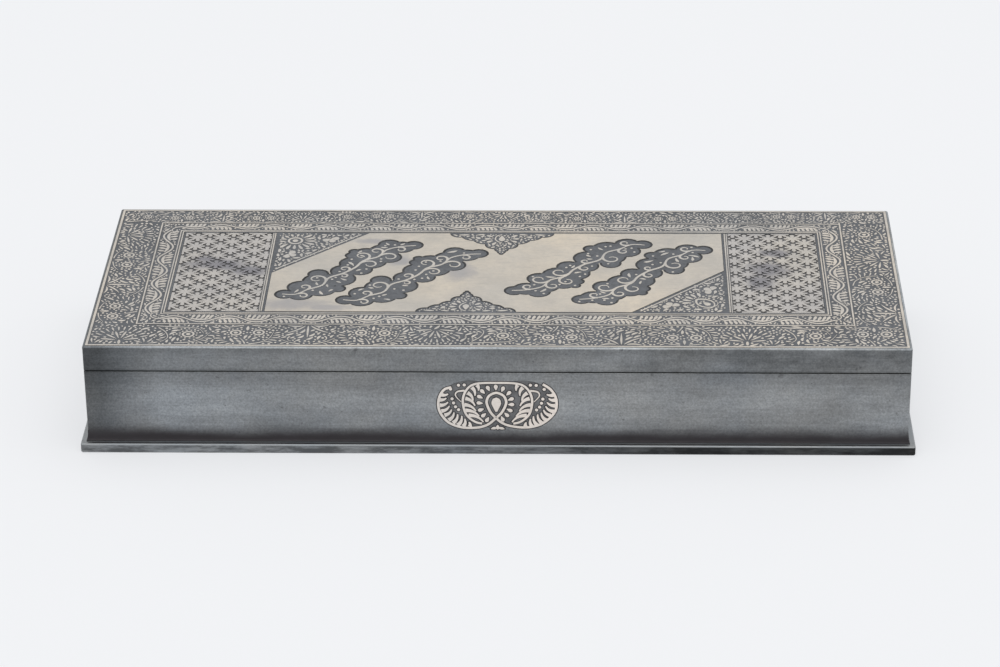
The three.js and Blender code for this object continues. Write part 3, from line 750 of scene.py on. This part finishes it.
def vineBand(pattern, x, y, turn, length, width, flip, rng):
    # A wavy stem. Under each arch hangs a leaf, whose teeth lean forward.
    pen = Pen(pattern, x, y, turn, 1, flip)
    bays = max(1, round(length / vine["bay"]))
    bay, swing = length / bays, vine["swing"] * width
    teeth = vine["teeth"] if turn == 0 else vine["sideTeeth"]

    def stem(u):
        return swing * math.sin(math.pi * u / bay)

    for i in range(bays):
        pattern.wire([pen.at(u, stem(u)) for u in (bay * (i + k / 8) for k in range(9))], vine["stem"])
    for i in range(bays):
        side = 1 if i % 2 == 0 else -1
        start = i * bay

        def spine(share):
            u = start + bay * share
            return u, stem(u) - side * (1.0 + 0.85 * math.sin(math.pi * share))

        pattern.stroke([pen.at(*spine(0.08 + 0.8 * k / 9)) for k in range(10)], 1.15, "leaf", force=True)
        for k in range(teeth):
            share = 0.1 + 0.78 * (k + 0.35) / teeth
            u, v = spine(share)
            lean = vine["lean"] + 14 * (share - 0.5)
            reach = (width / 2 - vine["edge"] + side * v) / math.cos(math.radians(lean - 12))
            pen.line(u, v - side * 0.25, side * (lean - 90), reach * rng.uniform(0.88, 0.97), side * -26,
                     vine["tooth"], "drop", 7, force=True)
        for k in (0, 1):  # a leaf and dots outside the arch
            pen.line(start + bay * (0.04 + 0.9 * k), side * 0.9, side * (70 + 45 * k), 2.3,
                     side * (60 - 120 * k), 0.85, "drop", 5)
        for k in (-1, 0, 1):
            pen.dot(start + bay * 0.5 + 1.5 * k, side * (width / 2 - 0.75), 0.44)


def vineArea():
    # The frame that the vine fills: its outer rectangle, its hole, and what lies between them
    outer = rectOf(innerLine, lineWidths["inner"])
    hole = rectOf(panelLine, -(fineLine["gap"] + fineLine["width"]))

    def inside(x, y, r):
        gap = vine["margin"] + r
        return (outer[0] + gap <= x <= outer[2] - gap and outer[1] + gap <= y <= outer[3] - gap
                and not (hole[0] - gap < x < hole[2] + gap and hole[1] - gap < y < hole[3] + gap))

    return outer, hole, inside


def vineBands():
    outer, hole, inside = vineArea()
    bands = (
        ("vine_band_front", hole[0], (outer[1] + hole[1]) / 2, 0, hole[2] - hole[0], hole[1] - outer[1], 1),
        ("vine_band_back", hole[0], (outer[3] + hole[3]) / 2, 0, hole[2] - hole[0], outer[3] - hole[3], -1),
        ("vine_band_left", (outer[0] + hole[0]) / 2, hole[1], 90, hole[3] - hole[1], hole[0] - outer[0], 1),
        ("vine_band_right", (outer[2] + hole[2]) / 2, hole[1], 90, hole[3] - hole[1], outer[2] - hole[2], -1),
    )
    for name, x, y, turn, length, width, flip in bands:
        rng = random.Random(name)
        pattern = Pattern(inside, gap=0.24)
        vineBand(pattern, x, y, turn, length, width, flip, rng)
        if turn == 0:  # a curled leaf in the corner at each end
            for end, away, back in ((x, 180, 1), (x + length, 0, -1)):
                pen = Pen(pattern, end, y, 0, 1, flip)
                pen.line(0, 0, away, vine["corner"], back * -200, 0.7, "whip", 12, 1.4, force=True)
                pen.fan(-back * 3.6, 0.4, away - 95 * back, away + 75 * back, 5, 1.3, 3.0, 1.0, 12)
        along = (x - vine["corner"], y - width / 2, x + length + vine["corner"], y + width / 2)
        area = along if turn == 0 else (x - width / 2, y, x + width / 2, y + length)
        fillArea(pattern, area, rng, leaf=((1.7, 2.0, 0.8),), dot={"spacing": 0.75, "radii": (0.42, 0.32)},
                 flow=swirl(6, 9))
        inlayLid(name, pattern, inlaySilver)


def fineLines(hole):
    # A second line round the panel's line, and one beside each divider
    width, half = fineLine["width"], fineLine["width"] / 2
    left, front, right, back = hole[0] + half, hole[1] + half, hole[2] - half, hole[3] - half
    lines = [((left - half, y), (right + half, y), width) for y in (front, back)]
    lines += [((x, front + half), (x, back - half), width) for x in (left, right)]
    for divider, sheet, side in (("left_panel_divider", leftStars["right"], "left"),
                                 ("right_panel_divider", rightStars["left"], "right")):
        x = (faceBox(divider)[side] + sheet) / 2
        lines.append(((x, leftStars["front"]), (x, leftStars["back"]), fineLine["beside"]))
    pattern = Pattern()
    for start, end, wide in lines:
        pattern.wire(sagPath(start, end, 0), wide)
    inlayLid("fine_lines", pattern, lineSilver)


vineBands()
fineLines(vineArea()[1])
print("Vine band made")


# Star lattices, cut from the sheets of the two side panels

star = {"columns": 4.575, "rows": 3.93, "valley": 1.3, "left": -117.2, "right": 93.1, "rowCount": 19,
        "reach": 3, "jitter": 0.12}
halfPetals = ((0, 3.6, 0.54), (38, 3.15, 0.62), (90, 3.5, 0.88), (142, 3.15, 0.62))
starPetals = [(angle + turn, length, half) for turn in (0, 180) for angle, length, half in halfPetals]


def starOutline(x, y, rng):
    # Eight blunt petals, longest along the rows
    size = rng.uniform(0.96, 1.02)
    lean = rng.uniform(-2.5, 2.5)
    points = []
    for i, (angle, length, half) in enumerate(starPetals):
        before = starPetals[i - 1][0] - (360 if i == 0 else 0)
        points.append(awayFrom(x, y, size * star["valley"], (before + angle) / 2 + lean))
        turn = math.radians(angle + lean)
        cos, sin = math.cos(turn), math.sin(turn)
        reach, wide = length * size * rng.uniform(0.95, 1.02), half * size
        for along, across in ((reach - 0.7 * wide, -wide), (reach - 0.1 * wide, -0.45 * wide),
                              (reach - 0.1 * wide, 0.45 * wide), (reach - 0.7 * wide, wide)):
            points.append((x + along * cos - across * sin, y + along * sin + across * cos))
    return points


def starLattice(name, sheet, node, firstColumn):
    rng = random.Random(name)
    outlines = []
    reach, jitter = star["reach"], star["jitter"]
    for row in range(star["rowCount"]):
        y = sheet["back"] - row * star["rows"]
        shift = 0 if row % 2 else star["columns"]
        for column in range(-2, 6):
            x = firstColumn + shift + 2 * star["columns"] * column
            if sheet["left"] - reach < x < sheet["right"] + reach and sheet["front"] - reach < y:
                spot = [place + rng.uniform(-jitter, jitter) for place in (x, y)]
                outlines.append(starOutline(*spot, rng))
    piece = inlayMesh(name, outlines, onLid, starInlay, "lid", starSilver, rectOf(sheet))
    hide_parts(node)


starLattice("left_star_lattice", leftStars, "left_star_sheet", star["left"])
starLattice("right_star_lattice", rightStars, "right_star_sheet", star["right"])
print("Star lattices made")


# Corner flowers and cusps of the middle panel

cornerFlower = {"leg": 35, "margin": 0.6, "edgeLine": 0.6, "gap": 0.3,
                "leaf": ((2.0, 3.0, 1.25), (1.4, 2.0, 0.98)),
                "dot": {"spacing": 0.7, "radii": (0.56, 0.42, 0.3)}}


def trefoil(pen, u, v, heading, size):
    for angle in (heading - 74, heading, heading + 74):
        pen.line(*awayFrom(u, v, 0.35, angle), angle, 2.9 * size, 0, 2.5 * size, "drop", 7, force=True)
    pen.line(u, v, heading + 180, 3.6 * size, 40, 0.75, "whip")


def cornerFlowers(name, x, y, turn, heart):
    leg, margin = cornerFlower["leg"], cornerFlower["margin"]
    cos, sin = math.cos(math.radians(turn)), math.sin(math.radians(turn))

    def inside(px, py, r):
        u, v = (px - x) * cos + (py - y) * sin, (py - y) * cos - (px - x) * sin
        return u >= margin * 0.5 + r and v >= margin * 0.5 + r and u + v <= leg - (margin + r) * math.sqrt(2)

    pattern = Pattern(inside, cornerFlower["gap"])
    pen = Pen(pattern, x, y, turn)
    pen.line(leg - 3.2, 1.0, 135, (leg - 4.2) * math.sqrt(2), 0, cornerFlower["edgeLine"], "wire", 12,
             force=True)
    trefoil(pen, 18.4, 4.9, 62, 1.08)
    trefoil(pen, 4.9, 20.2, 22, 1.08)
    if heart:  # a heart-shaped scroll with a bud in it, in a fringe
        for side in (-1, 1):
            pen.line(10.8, 10.8, 225 - side * 64, 15.5, side * 215, 0.9, "whip", 14, 0.8, force=True)
        pen.line(8.4, 8.4, 225, 4.8, 0, 2.4, "drop", 7)
        pen.fan(8.4, 8.4, -6, 96, 6, 4.5, 3.6, 1.25, 14)
    else:  # a bell with a fringe
        pen.ring(6.8, 6.8, 3.0, 0.85, 1.15)
        pen.fan(6.8, 6.8, -42, 132, 9, 3.9, 4.3, 1.3, 16)
        pen.fan(6.8, 6.8, 172, 278, 5, 3.6, 2.4, 1.05, 0)
    for u, v, heading in ((25.0, 3.2, 20), (3.2, 26.0, 70)):
        pen.fan(u, v, heading - 70, heading + 70, 5, 1.0, 3.1, 1.15, 10)
    across, along = zip(pen.at(0, 0), pen.at(leg, 0), pen.at(0, leg))
    area = (min(across), min(along), max(across), max(along))
    fillArea(pattern, area, random.Random(name), cornerFlower["leaf"], cornerFlower["dot"], swirl(5, 3))
    inlayLid(name, pattern, inlaySilver)


# The lobes of the lid's dark cusps and clouds, as the lid's plate has them
cuspLobes = ((0.86, 0, 0.2), (0.58, 0.1, 0.25), (0.32, 0.24, 0.28), (0, 0.28, 0.38), (0.14, 0.54, 0.2),
             (0, 0.74, 0.15), (0, 0.87, 0.09), (0, 0.95, 0.05))
cloudLobes = ((-31.2, 3.8, 3.9), (-27.4, -0.8, 5), (-23, 3.4, 5.3), (-19.4, -3.8, 5.9), (-14.8, 1.8, 6.5),
              (-10.8, 6, 4.2), (-8.4, -3.2, 6.1), (-2.6, 0.6, 5.3), (2.2, -3.6, 4.8), (4.6, 2.4, 5.6),
              (10, -1.4, 6.6), (13.6, 4.4, 5.2), (17.2, -4.6, 4.9), (20, 0.8, 6.1), (25.4, 3, 4.6),
              (26.8, -2.2, 5.1), (31, -4.4, 3.9), (-14.9, -8.1, 3.2), (9.2, 7.4, 2.9), (12.2, 9.2, 2.3))
cloudPlaces = ((-56, 2, 50), (-31.9, -3.9, 47), (30.9, 3.7, 227), (55, -2.2, 230))


def discArea(discs, margin):
    return lambda x, y, r: any(math.hypot(x - cx, y - cy) + r <= radius - margin for cx, cy, radius in discs)


def lobedRim(pattern, discs, inset, width, keep=lambda x, y: True):
    # The outer edge of a group of lobes, as one stroke for each stretch of a lobe that shows. Each lobe is
    # gone round twice, so that no stretch is cut where the round begins.
    steps = 40
    for i, (cx, cy, radius) in enumerate(discs):
        run = []
        for k in range(2 * steps + 1):
            angle = 2 * math.pi * k / steps
            x, y = cx + (radius - inset) * math.cos(angle), cy + (radius - inset) * math.sin(angle)
            hidden = any(math.hypot(x - ox, y - oy) < other - inset
                         for j, (ox, oy, other) in enumerate(discs) if j != i)
            if hidden or not keep(x, y):
                if 2 < len(run) < k:
                    pattern.wire(run, width)
                run = []
                if k >= steps:
                    break
            else:
                run.append((x, y))


def cuspFlower(name, x, y, inward, size):
    discs = [(x + side * across * size, y + inward * inner * size, radius * size)
             for across, inner, radius in cuspLobes for side in ((-1, 1) if across else (0,))]
    lobes = discArea(discs, 0.8)
    pattern = Pattern(lambda px, py, r: lobes(px, py, r) and (py - y) * inward > 0.35 + r, gap=0.3)
    pen = Pen(pattern, x, y, 0, size / 19, inward)
    pen.line(0, 2.2, 90, 4.6, 0, 2.5, "drop", 7)
    for side in (-1, 1):  # a loop round the drop, then stout teeth, a flower and a leaf towards each end
        pen.through(mirrored(((0, 0.9), (1.9, 2.2), (2.55, 4.9), (1.5, 7.2), (0, 8.3)), side), 0.5, "wire")
        pen.fan(side * 0.4, 4.6, 90 - side * 118, 90 - side * 30, 4, 3.6, 2.7, 1.3, side * 8)
        for k in (-1, 0, 1):
            pen.line(side * 9.7 + 0.4 * k, 3.0, 90 - side * 18 + 62 * k, 2.5, 0, 1.6, "drop", 6)
        pen.line(side * 12.6, 0.9, 90 - side * 74, 4.2, side * -24, 1.0, "leaf")
        pen.line(side * 6.6, 0.8, 90 - side * 80, 3.4, 0, 0.9, "leaf")
    pen.line(0, 10.0, 90, 4.4, 0, 1.5, "leaf")
    area = (x - size, y if inward > 0 else y - size, x + size, y + size if inward > 0 else y)
    fillArea(pattern, area, random.Random(name), leaf=((1.4, 2.0, 0.85),),
             dot={"spacing": 0.62, "radii": (0.46, 0.34, 0.26)}, flow=swirl(4, 5))
    inlayLid(name, pattern, inlaySilver)
    return discs


def cloudDiscs(place):
    shiftX, shiftY, turn = place
    cos, sin = math.cos(math.radians(turn)), math.sin(math.radians(turn))
    return [(panelMiddle[0] + shiftX + along * cos - across * sin,
             panelMiddle[1] + shiftY + along * sin + across * cos, radius)
            for along, across, radius in cloudLobes]


# A scroll along each cloud: its stem, and where a curl leaves it on one side (1) or the other (-1)
cloudStem = ((-31.6, 4.6), (-28.4, 0.6), (-22.6, 0.0), (-16.6, -1.6), (-10.4, 0.8), (-4.0, -0.6), (2.6, -0.6),
             (8.8, 1.0), (15.0, -0.8), (21.2, 0.8), (27.0, -1.4), (31.4, -5.2))
cloudCurls = {"width": 1.15, "length": 14, "turn": 330, "sizes": (1, 0.88, 0.76, 0.64, 0.52),
              "places": ((-27.0, -1), (-22.6, 1), (-17.2, -1), (-12.6, 1), (-5.4, -1), (-1.2, 1), (6.6, -1),
                         (9.6, 1), (16.4, -1), (18.8, 1), (25.4, -1))}
cloudFill = {"leaf": ((4.2, 4.0, 1.15), (3.4, 2.6, 0.95)), "dot": {"spacing": 3.2, "radii": (0.52,)}}


def cloudCurl(pen, u, v, heading, side):
    # Leaves the stem along it and curls outwards, at the largest size that stays inside the cloud
    for size in cloudCurls["sizes"]:
        path = bentPath(*pen.at(u, v), pen.turn + heading + side * 12, cloudCurls["length"] * size,
                        side * cloudCurls["turn"], 20, 2.4)
        if all(pen.pattern.inside(*disc) for disc in pen.pattern.discsOf(path, cloudCurls["width"], "whip")):
            pen.pattern.stroke(path, cloudCurls["width"], "whip", force=True)
            return


def cloudScroll(pen):
    pen.through(cloudStem, 0.95, "swell", force=True)
    stem = smoothPath(cloudStem)
    for u, side in cloudCurls["places"]:
        i = min(range(1, len(stem) - 1), key=lambda k: abs(stem[k][0] - u))
        along = math.degrees(math.atan2(stem[i + 1][1] - stem[i - 1][1], stem[i + 1][0] - stem[i - 1][0]))
        cloudCurl(pen, *stem[i], along, side)


cusps = (("back_cusp_flower", panelMiddle[0] + 1, centrePanel["back"], -1, 19),
         ("front_cusp_flower", panelMiddle[0] - 11, centrePanel["front"], 1, 17.6))


def cloudOrnament():
    # The clouds' rims and scrolls, and the cusps with theirs
    rims = Pattern()
    scrolls = Pattern(gap=0.45)
    for number, place in enumerate(cloudPlaces):
        discs = cloudDiscs(place)
        lobedRim(rims, discs, 0.5, 0.8)
        scrolls.inside = discArea(discs, 1.25)
        x, y = panelMiddle[0] + place[0], panelMiddle[1] + place[1]
        cloudScroll(Pen(scrolls, x, y, place[2]))
        fillArea(scrolls, (x - 30, y - 30, x + 30, y + 30), random.Random(number), cloudFill["leaf"],
                 cloudFill["dot"], swirl(9, number))
    for name, x, y, inward, size in cusps:
        discs = cuspFlower(name, x, y, inward, size)
        lobedRim(rims, discs, 0.36, 0.6, keep=lambda px, py: (py - y) * inward > 0)
    inlayLid("cloud_scrolls", scrolls, inlaySilver)
    inlayMesh("cloud_rims", rims.outlines, onLid, rimInlay, "lid", darkGrooveAndShadow)


cloudOrnament()
cornerFlowers("back_left_corner_flowers", centrePanel["left"], centrePanel["back"], -90, False)
cornerFlowers("front_right_corner_flowers", centrePanel["right"], centrePanel["front"], 90, True)
print("Middle panel ornament made")


# Front medallion

# A ribbon loops round a drop, crosses under it and runs out into two wings. Millimetres from the middle.
# The inner rims, their fronds and the tendrils are drawn for the right side and mirrored.
medallion = {
    "shift": (0.3, -0.5), "ribbon": 0.95, "rim": 0.85, "halo": 0.34, "sag": 0.14,
    "widths": {"innerFronds": 1.6, "outerFronds": 1.62},
    "loop": ((-0.6, -5.0), (1.5, -2.7), (2.9, 0.2), (3.1, 2.2), (2.1, 4.3), (-0.4, 5.4), (-2.9, 4.3),
             (-3.9, 2.2), (-3.7, 0.2), (-2.5, -2.7), (-0.6, -5.0)),
    "leftStrand": ((-0.6, -5.0), (-3.4, -7.6), (-6.9, -8.9), (-11.6, -9.1), (-14.9, -8.4), (-17.9, -6.9),
                   (-20.2, -4.2), (-21.4, -1.2), (-21.5, 1.9), (-20.6, 4.9), (-19.0, 6.9), (-16.7, 7.6)),
    "rightStrand": ((-0.6, -5.0), (1.6, -7.0), (4.8, -8.3), (10.1, -8.9), (14.3, -8.1), (17.0, -6.7),
                    (19.4, -4.5), (21.1, -1.8), (21.5, 1.5), (20.8, 4.6), (19.0, 7.2), (16.5, 9.0)),
    "innerRim": ((0, 9.5), (5.5, 9.4), (8.9, 8.7), (11.0, 6.9), (12.3, 4.2), (12.6, 1.2), (11.9, -2.5),
                 (10.4, -4.9), (8.0, -6.7), (5.7, -7.3)),
    "innerFronds": (((7.4, 8.6), (6.9, 6.3)), ((9.3, 7.6), (8.2, 4.2)), ((10.9, 5.4), (8.9, 2.1)),
                    ((11.7, 3.1), (8.2, 0)), ((12.1, 0.5), (7.9, -2.2)), ((11.7, -1.9), (6.7, -4.3)),
                    ((10.6, -3.9), (5.2, -6.7))),
    "outerFronds": (((20.3, 4.6), (17.9, 4.9)), ((21.0, 2.5), (18.6, 3.2)), ((21.0, 0.2), (18.0, 1.6)),
                    ((20.5, -2.2), (17.5, 0.0)), ((19.4, -3.9), (16.7, -1.5)), ((17.9, -5.9), (15.9, -2.7)),
                    ((16.3, -7.1), (14.6, -3.4)), ((14.6, -8.0), (13.1, -4.1)), ((12.6, -8.5), (12.0, -5.3)),
                    ((10.2, -8.6), (10.5, -6.7))),
    "tendril": ((11.9, 6.3), (14.6, 5.8), (15.2, 4.1), (13.2, 1.6)),
    "dots": ((12.0, 8.6), (14.1, 8.5), (17.0, 6.9), (16.5, 2.9), (16.0, 1.2), (15.3, -0.4), (14.2, -1.6)),
    "drops": ((-0.1, 7.6), (-2.9, 7.2), (2.4, 6.9), (-4.9, 5.9), (4.5, 5.2), (-5.9, 3.7), (5.3, 2.8),
              (-6.0, 1.2), (5.4, 0.6), (-5.6, -1.6), (4.8, -1.7), (-4.6, -3.8), (3.7, -3.6), (-3.3, -5.6),
              (2.2, -5.3)),
    "ovals": ((0, 12.6, 9.6), (-9.5, 12.2, 9.8), (9.5, 12.2, 9.8)),
}


def frontMedallion(look):
    pattern = Pattern(gap=0.0, halo=look["halo"])
    pen = Pen(pattern, -0.45, 0)
    for strand, steps in (("loop", 6), ("leftStrand", 4), ("rightStrand", 4)):
        pattern.wire(smoothPath(look[strand], steps), look["ribbon"])
    pen.line(0, -2.4, 90, 5.9, 0, 3.5, "drop", 12, force=True)
    for x, y in look["drops"]:  # each points back at the middle drop
        away = math.atan2(y - 0.6, x)
        pen.line(x - 1.1 * math.cos(away), y - 1.1 * math.sin(away), math.degrees(away), 2.3, 0, 1.45, "drop",
                 8, force=True)
    for side in (-1, 1):
        pattern.wire(smoothPath(mirrored(look["innerRim"], side), 4), look["rim"])
        pattern.stroke(smoothPath(mirrored(look["tendril"], side), 6), 0.85, "whip", force=True)
        for fronds, sag in (("innerFronds", -side * look["sag"]), ("outerFronds", side * look["sag"])):
            for ends in look[fronds]:
                path = sagPath(*mirrored(ends, side), sag)
                pattern.stroke(path, look["widths"][fronds], "whip", force=True)
        for x, y in mirrored(look["dots"], side):
            pattern.dot(x, y, 0.62, 10, force=True)
        pen.line(0.45 + side * 0.3, -9.2, 90 - side * 84, 2.3, -side * 30, 1.1, "leaf", 6, force=True)
    pen.line(0.45, -9.8, 90, 2.0, 0, 1.3, "leaf", 6, force=True)
    place = onFront @ Matrix.Translation((*look["shift"], 0))
    piece = inlayMesh("medallion_silver", pattern.outlines, place, fineInlay, "case",
                      medallionSilver)
    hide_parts("front_medallion")
    # Painted shadow: a dark line round each piece of silver, laid on the front
    inlayMesh("medallion_grooves", pattern.halos, place, rimInlay, "case", darkGrooveAndShadow)


def medallionBed(look):
    # The plate that the silver is let into, flush with the front
    outline = []
    for angle in (math.radians(2 + 4 * k) for k in range(90)):
        reach = 0
        for middle, across, high in look["ovals"]:
            cos, sin = math.cos(angle) / across, math.sin(angle) / high
            a, b, c = cos * cos + sin * sin, -2 * cos * middle / across, (middle / across) ** 2 - 1
            if b * b - 4 * a * c > 0:
                reach = max(reach, (-b + math.sqrt(b * b - 4 * a * c)) / (2 * a))
        outline.append((reach * math.cos(angle), reach * math.sin(angle)))
    bed = {"sunk": 0.22, "proud": 0.0, "ease": 0.03, "uneven": 0.0}
    inlayMesh("medallion_bed", [outline], onFront, bed, "case", medallionGround)


medallionBed(medallion)
frontMedallion(medallion)
print("Medallion made")


# Camera, lamps and floor

cameraPlace = {"location": (0.0325, -1.1525, 0.6076), "yaw": -1.626, "pitch": 27.079, "roll": -0.562,
               "lens": 122.9}


def addCamera(place):
    data = bpy.data.cameras.new("camera")
    data.lens = place["lens"]
    data.sensor_width = 36
    data.clip_start = 0.05
    data.clip_end = 50
    camera = bpy.data.objects.new("camera", data)
    yaw, pitch, roll = (math.radians(place[key]) for key in ("yaw", "pitch", "roll"))
    forward = Vector((math.sin(yaw) * math.cos(pitch), math.cos(yaw) * math.cos(pitch), -math.sin(pitch)))
    level = Vector((math.cos(yaw), -math.sin(yaw), 0))
    up = level.cross(forward)
    right = level * math.cos(roll) + up * math.sin(roll)
    top = -level * math.sin(roll) + up * math.cos(roll)
    turn = Matrix((right, top, -forward)).transposed().to_4x4()
    camera.matrix_world = Matrix.Translation(place["location"]) @ turn
    bpy.context.scene.collection.objects.link(camera)
    bpy.context.scene.camera = camera


lampSettings = {
    "above": {"location": (0.1, 0.1, 1.5), "size": 1.6, "power": 9.0},
    "front": {"location": (-0.5, -1.6, 1.1), "size": 1.0, "power": 2.5},
}
floorLook = {"colour": (0.925, 0.93, 0.935), "seen": (0.895, 0.905, 0.93), "share": 0.64, "radius": 6}
worldLook = {"light": (0.97, 0.985, 1.0), "strength": 0.66, "seen": (0.885, 0.895, 0.905)}


def addLamps():
    for name, lamp in lampSettings.items():
        data = bpy.data.lights.new(name, "AREA")
        data.shape = "SQUARE"
        data.size = lamp["size"]
        data.energy = lamp["power"]
        light = bpy.data.objects.new(name, data)
        light.location = lamp["location"]
        light.rotation_euler = (-Vector(lamp["location"])).to_track_quat("-Z", "Y").to_euler()
        bpy.context.scene.collection.objects.link(light)


def addFloor():
    f = Finish("pale paper")
    pale = floorLook["colour"]
    colour = f.blend(f.grain(3, 2), pale, tuple(0.985 * value for value in pale))
    f.feed(f.shader, {"Base Color": colour, "Roughness": 0.9, "Specular IOR Level": 0.1})
    # Part of what is seen is the floor's own colour, so that the box's shadow on it stays soft
    own = f.node("Emission", {"Color": floorLook["seen"], "Strength": 1.0})
    share = f.math("MULTIPLY", f.seenDirectly(), floorLook["share"])
    mixed = f.node("MixShader", {0: share, 1: f.shader.outputs[0], 2: own})
    f.feed(f.nodes["Material Output"], {"Surface": mixed})
    bm = bmesh.new()
    bmesh.ops.create_circle(bm, cap_ends=True, radius=floorLook["radius"], segments=64)
    floor = objectFrom(bm, "floor", f.material)


def addWorld():
    world = bpy.data.worlds.new("studio")
    bpy.context.scene.world = world
    world.use_nodes = True
    tree = NodeTree(world.node_tree)
    background = tree.nodes["Background"]
    tree.feed(background, {"Color": worldLook["light"], "Strength": worldLook["strength"]})
    seen = tree.node("Background", {"Color": worldLook["seen"]})
    mixed = tree.node("MixShader", {0: tree.seenDirectly(), 1: background.outputs[0], 2: seen})
    tree.feed(tree.nodes["World Output"], {"Surface": mixed})


addCamera(cameraPlace)
addLamps()
addFloor()
addWorld()
bpy.context.scene.view_settings.view_transform = "Standard"
print("Camera, lamps and floor set")
